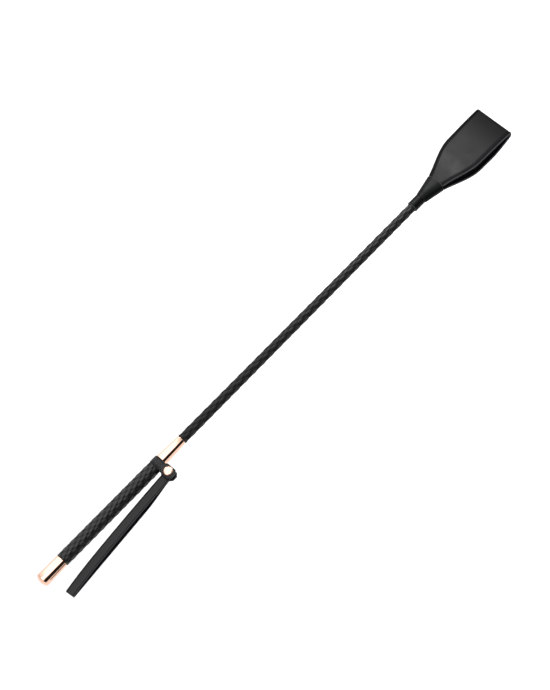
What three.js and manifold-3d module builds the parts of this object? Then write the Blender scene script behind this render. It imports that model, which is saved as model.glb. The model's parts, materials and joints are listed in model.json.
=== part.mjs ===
// A riding crop, lying flat on its butt cap, its popper and its wrist strap.
// Millimetres. While it is built, X runs along the axis of the shaft from the butt (x = 0) to the tip of the
// popper, Z is up and z = 0 is the axis. At the end the whole crop is moved, so that the origin lies under the
// middle of it, on the surface that it rests on.
import * as THREE from "three";
import { mergeVertices } from "three/addons/utils/BufferGeometryUtils.js";
import Module from "manifold-3d";

const wasm = await Module();
wasm.setup();

// ---- Driving sizes ----

// Fits
const TOUCH_GAP = 0.3; // between pieces that lie on each other
const ROUND_FIT = 0.2; // radial, between a round piece and what is wrapped or pressed on it

// Lengths along the shaft, in order from the butt
const CAP_LENGTH = 29.5;
const GRIP_LENGTH = 128;
const KEEPER_WIDTH = 9;
const FERRULE_LENGTH = 28.5;
const SHAFT_LENGTH = 331;
const SLEEVE_LENGTH = 34;
const POPPER_LENGTH = 90;

// Rod and handle core
const ROD_RADIUS = 2.2;
const ROD_BUTT_SETBACK = 8;
const ROD_TIP_SETBACK = 4;
const CORE_BUTT_SETBACK = 5;
const CORE_IN_FERRULE = 8;

// Butt cap
const CAP_PROUD = 0.45; // how far the butt stands out beyond the grip
const CAP_DOME = 4;
const CAP_WALL = 0.9;

// Grip braid and its whippings
const GRIP_RADIUS = 6.95;
const GRIP_TAIL_WALL = 0.5;
const GRIP_TAIL_IN_CAP = 11;
const GRIP_TAIL_IN_FERRULE = 5;
const GRIP_SHOULDER = 1;
const CAP_WHIPPING_THREAD = 0.4;
const CAP_WHIPPING_LENGTH = 8;
const KEEPER_WHIPPING_THREAD = 0.7;
const WHIPPING_SETBACK = 1.5;

// Ferrule
const FERRULE_STEP = 0.65; // down from the grip to the base of the ferrule
const FERRULE_TOP_RADIUS = 5.05;
const FERRULE_WALL = 0.75;

// Shaft braid and its whippings
const BRAID_BASE_RADIUS = 4.95;
const BRAID_TIP_RADIUS = 4.45;
const BRAID_TAIL_WALL = 1.1;
const BRAID_TAIL_IN_FERRULE = 16;
const BRAID_TAIL_IN_SLEEVE = 10;
const SHAFT_WHIPPING_THREAD = 0.45;
const SHAFT_WHIPPING_LENGTH = 6;

// Stations where the rod and its braid flex
const FLEX_COUNT = 6;
const FLEX_PITCH = 50;
const LAST_FLEX_SETBACK = 14;
const FLEX_GAP = 0.9;

// Keeper: the strip round the handle, its two leaves and the press stud through them
const KEEPER_LEATHER = 1.2;
const LEAF_ROOT_SETOUT = 2.5; // from the round of the keeper to the line where the leaves begin
const LEAF_LENGTH = 13.5;
const LEAF_WIDTH = 11.6;
const LEAF_CORNER = 3;
const KEEPER_END_SHARE = 0.93; // how far along its last straight the strip round the handle ends
const STUD_SETOUT = 6.1; // from the root of the leaves to the middle of the press stud
const SNAP_CAP_RADIUS = 4.8;
const SNAP_CAP_RIM = 0.7;
const SNAP_CAP_CROWN = 1;
const SNAP_STEM_RADIUS = 1;
const SOCKET_RADIUS = 3.4;
const SOCKET_WALL = 0.9;
const SOCKET_ROOF = 0.3;
const SOCKET_DEPTH = 1;
const STUD_FLANGE_RADIUS = 3.2;
const STUD_FLANGE = 0.6;
const STUD_BALL_RADIUS = 1.6;
const STUD_BALL_HEIGHT = 1;
const POST_HEAD_RADIUS = 4;
const POST_HEAD = 0.6;

// Wrist strap
const STRAP_WIDTH = 10;
const STRAP_LEATHER = 1.2;
const STRAP_REACH = 152; // from the press stud to the fold of the loop
const STRAP_YAW = 5; // degrees between the strap and the handle
const STRAP_END_BACK = 5.5;
const STRAP_END_CORNER = 2;
const STRAP_END_LENGTH = 7.9;
const STRAP_HINGE_GAP = 1.5;
const STRAP_FOLD_RADIUS = 1.3;
const STRAP_FOLD_TURN = 170; // degrees
const STRAP_CROWN = 0.6; // how high above the axis the upper side of the loop arches
const STRAP_CROWN_REACH = 58; // from the press stud to that highest place
const STRAP_UPPER_SLOPE = 0.05;
const STRAP_LOWER_SLOPE = 0.155;
const STRAP_SLOPE_LENGTH = 32; // over which the lower side comes down to the ground

// Sleeve over the neck
const SLEEVE_SLACK = 0.6; // between the sleeve's base and the whipping under it
const SLEEVE_STRAIGHT = 13;
const SLEEVE_MOUTH_HALF_WIDTH = 9.35;
const SLEEVE_MOUTH_SQUARENESS = 2.6; // 2 is an oval, and more is squarer
const SLEEVE_FLARE_CURVE = 1.1; // 1 is straight, and more is hollow
const SLEEVE_LIFT_SHARE = 0.25; // the share of the flare over which the sleeve gains its height
const SLEEVE_WALL = 1;

// Popper
const POPPER_WIDTH = 44;
const POPPER_TIP_FLARE = 1.6;
const POPPER_ROOT_WIDTH = 17;
const POPPER_SHOULDER = 44;
const POPPER_LEATHER = 2.4;
const POPPER_FOLD_RADIUS = 2.2;
const POPPER_FOLD_TURN = 160; // degrees
const POPPER_CORNER = 2.5;
const POPPER_UPPER_HEIGHT = 5.4;
const POPPER_TIP_DROP = 0.4;
const POPPER_ROOT_HEIGHT = 3.4;
const POPPER_ROOT_SLOPE = 0.15;
const POPPER_CROWN_REACH = 29; // from the sleeve to where the upper side is highest
const POPPER_REST_START = 36;
const POPPER_REST_LENGTH = 22;
const POPPER_HINGE_GAP = 2.3;
const TAIL_LEATHER = 1.6;
const TAIL_LENGTH = 18;
const TAIL_NECK_LENGTH = 8;
const TAIL_NECK_WIDTH = 4.8;
const TAIL_MOUTH_WIDTH = 12.4;
const POPPER_WHIPPING_THREAD = 0.4;
const POPPER_WHIPPING_LENGTH = 5;

// Facets
const ROUND_SIDES = 32;
const SMALL_SIDES = 20;
const ROD_SIDES = 12;
const SECTION_SIDES = 32;
const WRAP_STEPS = 28;
const STRAIGHT_STEPS = 4;

// ---- Sizes that follow ----

const GRIP_START = CAP_LENGTH;
const GRIP_END = GRIP_START + GRIP_LENGTH;
const KEEPER_MIDDLE = GRIP_END + KEEPER_WIDTH / 2;
const FERRULE_START = GRIP_END + KEEPER_WIDTH;
const FERRULE_END = FERRULE_START + FERRULE_LENGTH;
const SLEEVE_START = FERRULE_END + SHAFT_LENGTH;
const SLEEVE_END = SLEEVE_START + SLEEVE_LENGTH;
const TIP = SLEEVE_END + POPPER_LENGTH;
const CAP_RADIUS = GRIP_RADIUS + CAP_PROUD;
const FLOOR = -CAP_RADIUS;

const ROD_BORE = ROD_RADIUS + ROUND_FIT;
const BRAID_TAIL_RADIUS = ROD_BORE + BRAID_TAIL_WALL;

// The grip's bared tail fits into the ferrule and, with a whipping on it, into the cap. The core fits into it.
const FERRULE_BASE_RADIUS = GRIP_RADIUS - FERRULE_STEP;
const FERRULE_TAPER = (FERRULE_BASE_RADIUS - FERRULE_TOP_RADIUS) / FERRULE_LENGTH;
const GRIP_TAIL_ROOM = FERRULE_BASE_RADIUS - FERRULE_WALL - GRIP_TAIL_IN_FERRULE * FERRULE_TAPER;
const GRIP_TAIL_RADIUS = GRIP_TAIL_ROOM - ROUND_FIT;
const GRIP_BORE = GRIP_TAIL_RADIUS - GRIP_TAIL_WALL;
const CORE_RADIUS = GRIP_BORE - ROUND_FIT;

// What goes over a whipping clears it by this much more than the thread's own thickness.
const WHIPPING_FIT = ROUND_FIT / 2 + ROUND_FIT;
const CAP_MOUTH_RADIUS = GRIP_TAIL_RADIUS + CAP_WHIPPING_THREAD + WHIPPING_FIT + CAP_WALL;

// The keeper goes round the whipping at the ferrule.
const KEEPER_INNER_RADIUS = GRIP_TAIL_RADIUS + KEEPER_WHIPPING_THREAD + WHIPPING_FIT;
const KEEPER_RADIUS = KEEPER_INNER_RADIUS + KEEPER_LEATHER / 2;
const LEAF_ROOT_REACH = KEEPER_RADIUS + LEAF_ROOT_SETOUT;
const STUD_REACH = LEAF_ROOT_REACH + STUD_SETOUT;

// The sleeve goes over the whipping on the shaft braid, then over the one round the popper's two roots.
const TAIL_HEIGHT = ROD_RADIUS + TOUCH_GAP + TAIL_LEATHER / 2;
const UNDER_POPPER_WHIPPING = Math.hypot(TAIL_HEIGHT + TAIL_LEATHER / 2, TAIL_NECK_WIDTH / 2);
const OVER_SHAFT_WHIPPING = BRAID_TAIL_RADIUS + ROUND_FIT / 2 + SHAFT_WHIPPING_THREAD;
const SLEEVE_BASE_RADIUS = OVER_SHAFT_WHIPPING + SLEEVE_SLACK + SLEEVE_WALL;
const SLEEVE_MOUTH_HALF_HEIGHT = UNDER_POPPER_WHIPPING + POPPER_WHIPPING_THREAD + WHIPPING_FIT + SLEEVE_WALL;
const LEAF_END = -(LEAF_ROOT_REACH + LEAF_LENGTH);

// The layers at the press stud, from the lower leaf up; each height is the middle of a leather layer.
const STRAP_STEP = STRAP_LEATHER + TOUCH_GAP;
const LAYER_STEP = (KEEPER_LEATHER + STRAP_LEATHER) / 2 + TOUCH_GAP;
const LEAF_OPENING = SOCKET_DEPTH + SOCKET_ROOF + STUD_FLANGE + 3 * TOUCH_GAP;
const STACK_HEIGHT = LAYER_STEP + STRAP_STEP + STRAP_LEATHER / 2 + LEAF_OPENING + KEEPER_LEATHER / 2;
const LOWER_LEAF = -STACK_HEIGHT / 2;
const STRAP_LOWER = LOWER_LEAF + LAYER_STEP;
const STRAP_UPPER = STRAP_LOWER + STRAP_STEP;
const UPPER_LEAF = LOWER_LEAF + STACK_HEIGHT;

const BLACK_BRAID = { color: 0x1c1c1d, roughness: 0.5, metalness: 0 };
const BLACK_SMOOTH = { color: 0x18191a, roughness: 0.45, metalness: 0 };
const POPPER_BLACK = { color: 0x2a2a2c, roughness: 0.55, metalness: 0 };
const ROSE_GOLD = { color: 0xe9b49a, roughness: 0.14, metalness: 1 };
const PLAIN_BRASS = { color: 0xb5974f, roughness: 0.35, metalness: 1 };
const GLASS_FIBRE = { color: 0xd8d4c4, roughness: 0.4, metalness: 0 };
const CORE_PLASTIC = { color: 0x3a3a3c, roughness: 0.6, metalness: 0 };
const WAXED_THREAD = { color: 0x101011, roughness: 0.7, metalness: 0 };

const crop = new THREE.Group();

// ---- Shapes ----

// Leaves only the positions, with shared corners merged, so that the surface is closed.
function closed(geometry) {
  geometry.deleteAttribute("normal");
  geometry.deleteAttribute("uv");
  return mergeVertices(geometry, 1e-4);
}

// A solid turned about the X axis from an outline of [x, radius] points, which starts and ends on the axis or
// is closed into a ring.
function turned(outline, sides = ROUND_SIDES) {
  const onAxis = outline[0][1] === 0;
  const whole = onAxis ? outline : [...outline, outline[0]];
  const points = whole.map(([x, radius]) => new THREE.Vector2(radius, x));
  return closed(new THREE.LatheGeometry(points, sides).rotateZ(-Math.PI / 2));
}

// A plain ring or tube about the X axis.
function tube(start, end, inner, outer, sides = ROUND_SIDES) {
  return turned([[start, inner], [start, outer], [end, outer], [end, inner]], sides);
}

// The same turned solids stood up about the Z axis, from [z, radius] points.
function upright(outline, sides = SMALL_SIDES) {
  return turned(outline, sides).rotateY(-Math.PI / 2);
}

// A closed solid through a row of rings with equal numbers of corners. Seen from the last ring, corners run
// counter-clockwise.
function loft(rings) {
  const count = rings[0].length;
  const last = (rings.length - 1) * count;
  const index = [];
  for (let ring = 0; ring + 1 < rings.length; ring += 1) {
    for (let corner = 0; corner < count; corner += 1) {
      const here = ring * count + corner;
      const beside = ring * count + ((corner + 1) % count);
      index.push(here, beside, beside + count);
      index.push(here, beside + count, here + count);
    }
  }
  for (let corner = 1; corner + 1 < count; corner += 1) {
    index.push(0, corner + 1, corner);
    index.push(last, last + corner, last + corner + 1);
  }
  const geometry = new THREE.BufferGeometry();
  const corners = rings.flat().flatMap((point) => point.toArray());
  geometry.setAttribute("position", new THREE.Float32BufferAttribute(corners, 3));
  geometry.setIndex(index);
  return geometry;
}

// A flat strip of even thickness along a path, with its width along the direction across.
function strip(path, across, thickness, halfWidthAt) {
  const rings = path.map((point, i) => {
    const before = path[Math.max(i - 1, 0)];
    const after = path[Math.min(i + 1, path.length - 1)];
    const along = after.clone().sub(before).normalize();
    const up = along.cross(across).multiplyScalar(thickness / 2);
    const side = across.clone().multiplyScalar(halfWidthAt(point));
    return [
      point.clone().sub(side).sub(up),
      point.clone().add(side).sub(up),
      point.clone().add(side).add(up),
      point.clone().sub(side).add(up),
    ];
  });
  return loft(rings);
}

// Points of an arc in the plane of two directions, both ends included.
function arc(centre, right, up, radius, from, to, steps) {
  const points = [];
  for (let i = 0; i <= steps; i += 1) {
    const angle = from + ((to - from) * i) / steps;
    const point = centre.clone();
    point.addScaledVector(right, radius * Math.cos(angle));
    point.addScaledVector(up, radius * Math.sin(angle));
    points.push(point);
  }
  return points;
}

// Points of a smooth curve in the XZ plane that leaves its first point and reaches its last at these slopes.
function sweep(start, startSlope, endSlope, end, steps) {
  const reach = (end.x - start.x) / 3;
  const leaving = start.clone().add(point3(reach, 0, reach * startSlope));
  const arriving = end.clone().sub(point3(reach, 0, reach * endSlope));
  return new THREE.CubicBezierCurve3(start, leaving, arriving, end).getPoints(steps);
}

// The slope at which a curve runs into a fold that turns it by so many degrees.
const foldSlope = (turn) => Math.tan(THREE.MathUtils.degToRad(180 - turn));

function solid(geometry) {
  const merged = closed(geometry.clone());
  return new wasm.Manifold(
    new wasm.Mesh({
      numProp: 3,
      vertProperties: merged.attributes.position.array,
      triVerts: new Uint32Array(merged.index.array),
    }),
  );
}

// What is left of one geometry when others are cut from it.
function cut(geometry, ...tools) {
  let left = solid(geometry);
  for (const tool of tools) {
    left = left.subtract(solid(tool));
  }
  const mesh = left.getMesh();
  const result = new THREE.BufferGeometry();
  result.setAttribute("position", new THREE.Float32BufferAttribute(mesh.vertProperties, 3));
  result.setIndex(new THREE.Uint32BufferAttribute(mesh.triVerts, 1));
  return result;
}

function piece(name, geometry, finish, parent = crop) {
  const shaded = geometry.clone();
  shaded.computeVertexNormals();
  const mesh = new THREE.Mesh(shaded, new THREE.MeshStandardMaterial({ ...finish, flatShading: true }));
  mesh.name = name;
  parent.add(mesh);
  return mesh;
}

const point3 = (x, y, z) => new THREE.Vector3(x, y, z);
const ALONG = point3(1, 0, 0);
const ACROSS = point3(0, 1, 0);
const UP = point3(0, 0, 1);
const mix = (a, b, share) => a + (b - a) * share;
const clampShare = (share) => Math.min(Math.max(share, 0), 1);

// ---- Handle ----

function buttCap() {
  const outline = [[0, 0]];
  const domeSteps = 6;
  for (let i = 1; i <= domeSteps; i += 1) {
    const angle = (i / domeSteps) * (Math.PI / 2);
    outline.push([CAP_DOME * (1 - Math.cos(angle)), CAP_RADIUS * Math.sin(angle)]);
  }
  outline.push([CAP_LENGTH, CAP_MOUTH_RADIUS]);
  outline.push([CAP_LENGTH, CAP_MOUTH_RADIUS - CAP_WALL]);
  outline.push([CAP_DOME, CAP_RADIUS - CAP_WALL]);
  outline.push([CAP_WALL, 0]);
  piece("butt_cap", turned(outline), ROSE_GOLD);
}

function handleCore() {
  const end = FERRULE_START + CORE_IN_FERRULE;
  piece("handle_core", tube(CORE_BUTT_SETBACK, end, ROD_BORE, CORE_RADIUS), CORE_PLASTIC);
}

function gripCover() {
  const outline = [
    [GRIP_START - GRIP_TAIL_IN_CAP, GRIP_BORE],
    [GRIP_START - GRIP_TAIL_IN_CAP, GRIP_TAIL_RADIUS],
    [GRIP_START + TOUCH_GAP, GRIP_TAIL_RADIUS],
    [GRIP_START + TOUCH_GAP, CAP_MOUTH_RADIUS],
    [GRIP_START + TOUCH_GAP + GRIP_SHOULDER, GRIP_RADIUS],
    [GRIP_END - TOUCH_GAP, GRIP_RADIUS],
    [GRIP_END - TOUCH_GAP, GRIP_TAIL_RADIUS],
    [FERRULE_START + GRIP_TAIL_IN_FERRULE, GRIP_TAIL_RADIUS],
    [FERRULE_START + GRIP_TAIL_IN_FERRULE, GRIP_BORE],
  ];
  piece("grip_cover", turned(outline), BLACK_BRAID);
}

// Thread wound tightly over the end of a braid.
function whipping(name, start, end, under, thread) {
  const inner = under + ROUND_FIT / 2;
  piece(name, tube(start, end, inner, inner + thread), WAXED_THREAD);
}

function gripWhippings() {
  const capEnd = GRIP_START - WHIPPING_SETBACK;
  whipping("grip_binding_butt", capEnd - CAP_WHIPPING_LENGTH, capEnd, GRIP_TAIL_RADIUS, CAP_WHIPPING_THREAD);
  const start = GRIP_END + TOUCH_GAP;
  const end = FERRULE_START - TOUCH_GAP;
  whipping("grip_binding_ferrule", start, end, GRIP_TAIL_RADIUS, KEEPER_WHIPPING_THREAD);
}

function ferrule() {
  const outline = [
    [FERRULE_START, FERRULE_BASE_RADIUS - FERRULE_WALL],
    [FERRULE_START, FERRULE_BASE_RADIUS],
    [FERRULE_END, FERRULE_TOP_RADIUS],
    [FERRULE_END, FERRULE_TOP_RADIUS - FERRULE_WALL],
  ];
  piece("ferrule", turned(outline), ROSE_GOLD);
}

// ---- Shaft ----

const flexStation = (i) => SLEEVE_START - LAST_FLEX_SETBACK - (FLEX_COUNT - 1 - i) * FLEX_PITCH;

// Both ends of each stretch between the flex stations, from the butt to the neck.
function stretches(start, end) {
  const list = [];
  for (let i = 0; i <= FLEX_COUNT; i += 1) {
    const from = i === 0 ? start : flexStation(i - 1) + FLEX_GAP / 2;
    const to = i === FLEX_COUNT ? end : flexStation(i) - FLEX_GAP / 2;
    list.push([from, to]);
  }
  return list;
}

function rod() {
  stretches(ROD_BUTT_SETBACK, SLEEVE_END - ROD_TIP_SETBACK).forEach(([start, end], i) => {
    const outline = [[start, 0], [start, ROD_RADIUS], [end, ROD_RADIUS], [end, 0]];
    piece(`rod_${i + 1}`, turned(outline, ROD_SIDES), GLASS_FIBRE);
  });
}

function shaftCover() {
  const first = FERRULE_END + TOUCH_GAP;
  const last = SLEEVE_START - TOUCH_GAP;
  const radiusAt = (x) => mix(BRAID_BASE_RADIUS, BRAID_TIP_RADIUS, (x - first) / (last - first));
  stretches(first, last).forEach(([start, end], i) => {
    const outline = [[start, ROD_BORE], [start, radiusAt(start)], [end, radiusAt(end)], [end, ROD_BORE]];
    if (i === 0) {
      const tail = FERRULE_END - BRAID_TAIL_IN_FERRULE;
      outline.splice(0, 1, [tail, ROD_BORE], [tail, BRAID_TAIL_RADIUS], [start, BRAID_TAIL_RADIUS]);
    }
    if (i === FLEX_COUNT) {
      const tail = SLEEVE_START + BRAID_TAIL_IN_SLEEVE;
      outline.splice(-1, 1, [end, BRAID_TAIL_RADIUS], [tail, BRAID_TAIL_RADIUS], [tail, ROD_BORE]);
    }
    piece(`cover_${i + 1}`, turned(outline), BLACK_BRAID);
  });
}

function shaftWhippings() {
  const start = FERRULE_END - BRAID_TAIL_IN_FERRULE + WHIPPING_SETBACK;
  const end = start + SHAFT_WHIPPING_LENGTH;
  whipping("shaft_binding_ferrule", start, end, BRAID_TAIL_RADIUS, SHAFT_WHIPPING_THREAD);
  const tipEnd = SLEEVE_START + BRAID_TAIL_IN_SLEEVE - WHIPPING_SETBACK;
  const tipStart = tipEnd - SHAFT_WHIPPING_LENGTH;
  whipping("shaft_binding_tip", tipStart, tipEnd, BRAID_TAIL_RADIUS, SHAFT_WHIPPING_THREAD);
}

// ---- Keeper and press stud ----

// Half the width of the keeper's strip at a distance y from the axis. The leaf is wider than the wrap round the
// handle, and its two outer corners are cut off.
function keeperHalfWidth({ y }) {
  const clipped = clampShare((LEAF_END + LEAF_CORNER - y) / LEAF_CORNER);
  const widened = clampShare((-y - GRIP_RADIUS) / (LEAF_ROOT_REACH - GRIP_RADIUS));
  return mix(KEEPER_WIDTH / 2 - TOUCH_GAP, LEAF_WIDTH / 2, widened) - LEAF_CORNER * clipped;
}

// Where a straight line from the root of a leaf at this height touches the round of the wrap, as an angle.
function touchAngle(height) {
  const distance = Math.hypot(LEAF_ROOT_REACH, height);
  const turn = Math.acos(KEEPER_RADIUS / distance);
  return Math.atan2(height, -LEAF_ROOT_REACH) - Math.sign(height) * turn;
}

// The hole for the press stud's stem through leather whose middle is at this height.
function stemHole(height, leather) {
  const radius = SNAP_STEM_RADIUS + TOUCH_GAP;
  const bottom = height - leather;
  const top = height + leather;
  return upright([[bottom, 0], [bottom, radius], [top, radius], [top, 0]]);
}

function keeperBand() {
  const at = (y, z) => point3(KEEPER_MIDDLE, y, z);
  const lower = touchAngle(LOWER_LEAF);
  const upper = touchAngle(UPPER_LEAF);
  const wrap = arc(at(0, 0), ACROSS, UP, KEEPER_RADIUS, lower, upper, WRAP_STEPS);
  const lowerStraight = new THREE.LineCurve3(at(-LEAF_ROOT_REACH, LOWER_LEAF), wrap[0]);
  const upperEnd = wrap.at(-1).clone().lerp(at(-LEAF_ROOT_REACH, UPPER_LEAF), KEEPER_END_SHARE);
  const upperStraight = new THREE.LineCurve3(wrap.at(-1), upperEnd);
  const path = [
    at(LEAF_END, LOWER_LEAF),
    at(LEAF_END + LEAF_CORNER, LOWER_LEAF),
    ...lowerStraight.getPoints(STRAIGHT_STEPS),
    ...wrap.slice(1),
    ...upperStraight.getPoints(STRAIGHT_STEPS).slice(1),
  ];
  const band = strip(path, ALONG, KEEPER_LEATHER, keeperHalfWidth);
  const hole = stemHole(LOWER_LEAF, KEEPER_LEATHER);
  piece("keeper_band", cut(band, hole.translate(KEEPER_MIDDLE, -STUD_REACH, 0)), BLACK_SMOOTH);
}

function keeperLeaf() {
  const at = (y) => point3(KEEPER_MIDDLE, y, UPPER_LEAF);
  const path = [at(LEAF_END), at(LEAF_END + LEAF_CORNER), at(-LEAF_ROOT_REACH)];
  const leaf = strip(path, ALONG, KEEPER_LEATHER, keeperHalfWidth);
  const hole = stemHole(UPPER_LEAF, KEEPER_LEATHER);
  piece("keeper_leaf", cut(leaf, hole.translate(KEEPER_MIDDLE, -STUD_REACH, 0)), BLACK_SMOOTH);
}

function pressStud() {
  const place = (name, outline, finish) => {
    piece(name, upright(outline), finish).position.set(KEEPER_MIDDLE, -STUD_REACH, 0);
  };
  const capSeat = UPPER_LEAF + KEEPER_LEATHER / 2 + TOUCH_GAP;
  const socketTop = UPPER_LEAF - KEEPER_LEATHER / 2 - TOUCH_GAP;
  const socketCeiling = socketTop - SOCKET_ROOF;
  const socketMouth = socketCeiling - SOCKET_DEPTH;
  const flangeSeat = STRAP_UPPER + STRAP_LEATHER / 2 + TOUCH_GAP;
  const ballSeat = flangeSeat + STUD_FLANGE;
  const ballTop = ballSeat + STUD_BALL_HEIGHT;
  const postSeat = LOWER_LEAF - KEEPER_LEATHER / 2 - TOUCH_GAP;
  const stemHoleRadius = SNAP_STEM_RADIUS + TOUCH_GAP;

  const capOutline = [[socketCeiling, 0], [socketCeiling, SNAP_STEM_RADIUS], [capSeat, SNAP_STEM_RADIUS]];
  capOutline.push([capSeat, SNAP_CAP_RADIUS], [capSeat + SNAP_CAP_RIM, SNAP_CAP_RADIUS]);
  const crownSteps = 4;
  for (let i = 1; i <= crownSteps; i += 1) {
    const angle = (i / crownSteps) * (Math.PI / 2);
    const height = capSeat + SNAP_CAP_RIM + SNAP_CAP_CROWN * Math.sin(angle);
    capOutline.push([height, i === crownSteps ? 0 : SNAP_CAP_RADIUS * Math.cos(angle)]);
  }
  place("snap_cap", capOutline, ROSE_GOLD);

  place("snap_socket", [
    [socketMouth, SOCKET_RADIUS - SOCKET_WALL],
    [socketMouth, SOCKET_RADIUS],
    [socketTop, SOCKET_RADIUS],
    [socketTop, stemHoleRadius],
    [socketCeiling, stemHoleRadius],
    [socketCeiling, SOCKET_RADIUS - SOCKET_WALL],
  ], PLAIN_BRASS);

  const stemTop = ballSeat;
  place("snap_stud", [
    [stemTop + TOUCH_GAP, 0],
    [stemTop + TOUCH_GAP, stemHoleRadius],
    [flangeSeat, stemHoleRadius],
    [flangeSeat, STUD_FLANGE_RADIUS],
    [ballSeat, STUD_FLANGE_RADIUS],
    [ballSeat, STUD_BALL_RADIUS],
    [ballTop, STUD_BALL_RADIUS],
    [ballTop, 0],
  ], PLAIN_BRASS);

  place("snap_post", [
    [postSeat - POST_HEAD, 0],
    [postSeat - POST_HEAD, POST_HEAD_RADIUS],
    [postSeat, POST_HEAD_RADIUS],
    [postSeat, SNAP_STEM_RADIUS],
    [stemTop, SNAP_STEM_RADIUS],
    [stemTop, 0],
  ], PLAIN_BRASS);
}

// ---- Wrist strap ----

// The strap's own frame: its origin is the axis of the press stud, and X runs along the strap to the fold.
const strap = new THREE.Group();
strap.position.set(KEEPER_MIDDLE, -STUD_REACH, 0);
strap.rotation.z = THREE.MathUtils.degToRad(180 + STRAP_YAW);
crop.add(strap);

function strapEnd(name, height) {
  const at = (x) => point3(x, 0, height);
  const halfWidthAt = ({ x }) => {
    const clipped = clampShare((STRAP_END_CORNER - STRAP_END_BACK - x) / STRAP_END_CORNER);
    return STRAP_WIDTH / 2 - STRAP_END_CORNER * clipped;
  };
  const path = [at(-STRAP_END_BACK), at(STRAP_END_CORNER - STRAP_END_BACK), at(STRAP_END_LENGTH)];
  const plate = strip(path, ACROSS, STRAP_LEATHER, halfWidthAt);
  const hole = stemHole(height, STRAP_LEATHER);
  piece(name, cut(plate, hole), BLACK_SMOOTH, strap);
}

function wristLoop() {
  const at = (x, z) => point3(x, 0, z);
  const start = STRAP_END_LENGTH + STRAP_HINGE_GAP;
  const floor = FLOOR + STRAP_LEATHER / 2;
  const crown = at(STRAP_CROWN_REACH, STRAP_CROWN);
  const foldCentre = at(STRAP_REACH - STRAP_LEATHER / 2 - STRAP_FOLD_RADIUS, floor + STRAP_FOLD_RADIUS);
  const foldStart = THREE.MathUtils.degToRad(STRAP_FOLD_TURN) - Math.PI / 2;
  const fold = arc(foldCentre, ALONG, UP, STRAP_FOLD_RADIUS, foldStart, -Math.PI / 2, 6);
  const path = [
    ...sweep(at(start, STRAP_UPPER), STRAP_UPPER_SLOPE, 0, crown, 8),
    ...sweep(crown, 0, -foldSlope(STRAP_FOLD_TURN), fold[0], 12).slice(1),
    ...fold.slice(1),
    ...sweep(at(start + STRAP_SLOPE_LENGTH, floor), 0, -STRAP_LOWER_SLOPE, at(start, STRAP_LOWER), 8),
  ];
  piece("wrist_loop", strip(path, ACROSS, STRAP_LEATHER, () => STRAP_WIDTH / 2), BLACK_SMOOTH, strap);
}

// ---- Neck and popper ----

// A flattened oval across the shaft.
const ROUND = 2;
function oval(x, halfWidth, halfHeight, squareness) {
  const ring = [];
  for (let i = 0; i < SECTION_SIDES; i += 1) {
    const angle = (i / SECTION_SIDES) * 2 * Math.PI;
    const y = Math.sign(Math.cos(angle)) * Math.abs(Math.cos(angle)) ** (2 / squareness);
    const z = Math.sign(Math.sin(angle)) * Math.abs(Math.sin(angle)) ** (2 / squareness);
    ring.push(point3(x, halfWidth * y, halfHeight * z));
  }
  return ring;
}

function sleeve() {
  const steps = 7;
  const shell = (inset, overrun) => {
    const base = SLEEVE_BASE_RADIUS - inset;
    const rings = [oval(SLEEVE_START - overrun, base, base, ROUND)];
    for (let i = 0; i <= steps; i += 1) {
      const share = i / steps;
      const x = mix(SLEEVE_START + SLEEVE_STRAIGHT, SLEEVE_END, share) + (i === steps ? overrun : 0);
      const width = mix(SLEEVE_BASE_RADIUS, SLEEVE_MOUTH_HALF_WIDTH, share ** SLEEVE_FLARE_CURVE);
      const height = mix(SLEEVE_BASE_RADIUS, SLEEVE_MOUTH_HALF_HEIGHT, clampShare(share / SLEEVE_LIFT_SHARE));
      rings.push(oval(x, width - inset, height - inset, mix(ROUND, SLEEVE_MOUTH_SQUARENESS, share)));
    }
    return loft(rings);
  };
  piece("sleeve", cut(shell(0, 0), shell(SLEEVE_WALL, SLEEVE_WALL)), BLACK_SMOOTH);
}

// The popper's two roots lie flat on the rod, above and below it, inside the sleeve.
function popperTails() {
  const start = SLEEVE_END - TAIL_LENGTH;
  const neckEnd = start + TAIL_NECK_LENGTH;
  const halfWidthAt = ({ x }) =>
    mix(TAIL_NECK_WIDTH, TAIL_MOUTH_WIDTH, clampShare((x - neckEnd) / (SLEEVE_END - neckEnd))) / 2;
  for (const [name, side] of [["popper_tail_top", 1], ["popper_tail_bottom", -1]]) {
    const path = [start, neckEnd, SLEEVE_END].map((x) => point3(x, 0, side * TAIL_HEIGHT));
    piece(name, strip(path, ACROSS, TAIL_LEATHER, halfWidthAt), POPPER_BLACK);
  }
  const from = start + WHIPPING_SETBACK;
  const to = from + POPPER_WHIPPING_LENGTH;
  whipping("popper_binding", from, to, UNDER_POPPER_WHIPPING, POPPER_WHIPPING_THREAD);
}

// Half the popper's width: it swells from the sleeve to the shoulder, then flares a little to the square tip.
function popperHalfWidth({ x }) {
  const fromRoot = x - SLEEVE_END;
  const share = clampShare(fromRoot / POPPER_SHOULDER);
  const swell = (Math.sin((share * Math.PI) / 2) + share * share * (3 - 2 * share)) / 2;
  const pastShoulder = clampShare((fromRoot - POPPER_SHOULDER) / (POPPER_LENGTH - POPPER_SHOULDER));
  const flare = POPPER_TIP_FLARE * pastShoulder;
  const intoCorner = clampShare((x - (TIP - POPPER_CORNER)) / POPPER_CORNER);
  const rounding = POPPER_CORNER * (1 - Math.sqrt(1 - intoCorner * intoCorner));
  return (mix(POPPER_ROOT_WIDTH, POPPER_WIDTH, swell) + flare - rounding) / 2;
}

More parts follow.
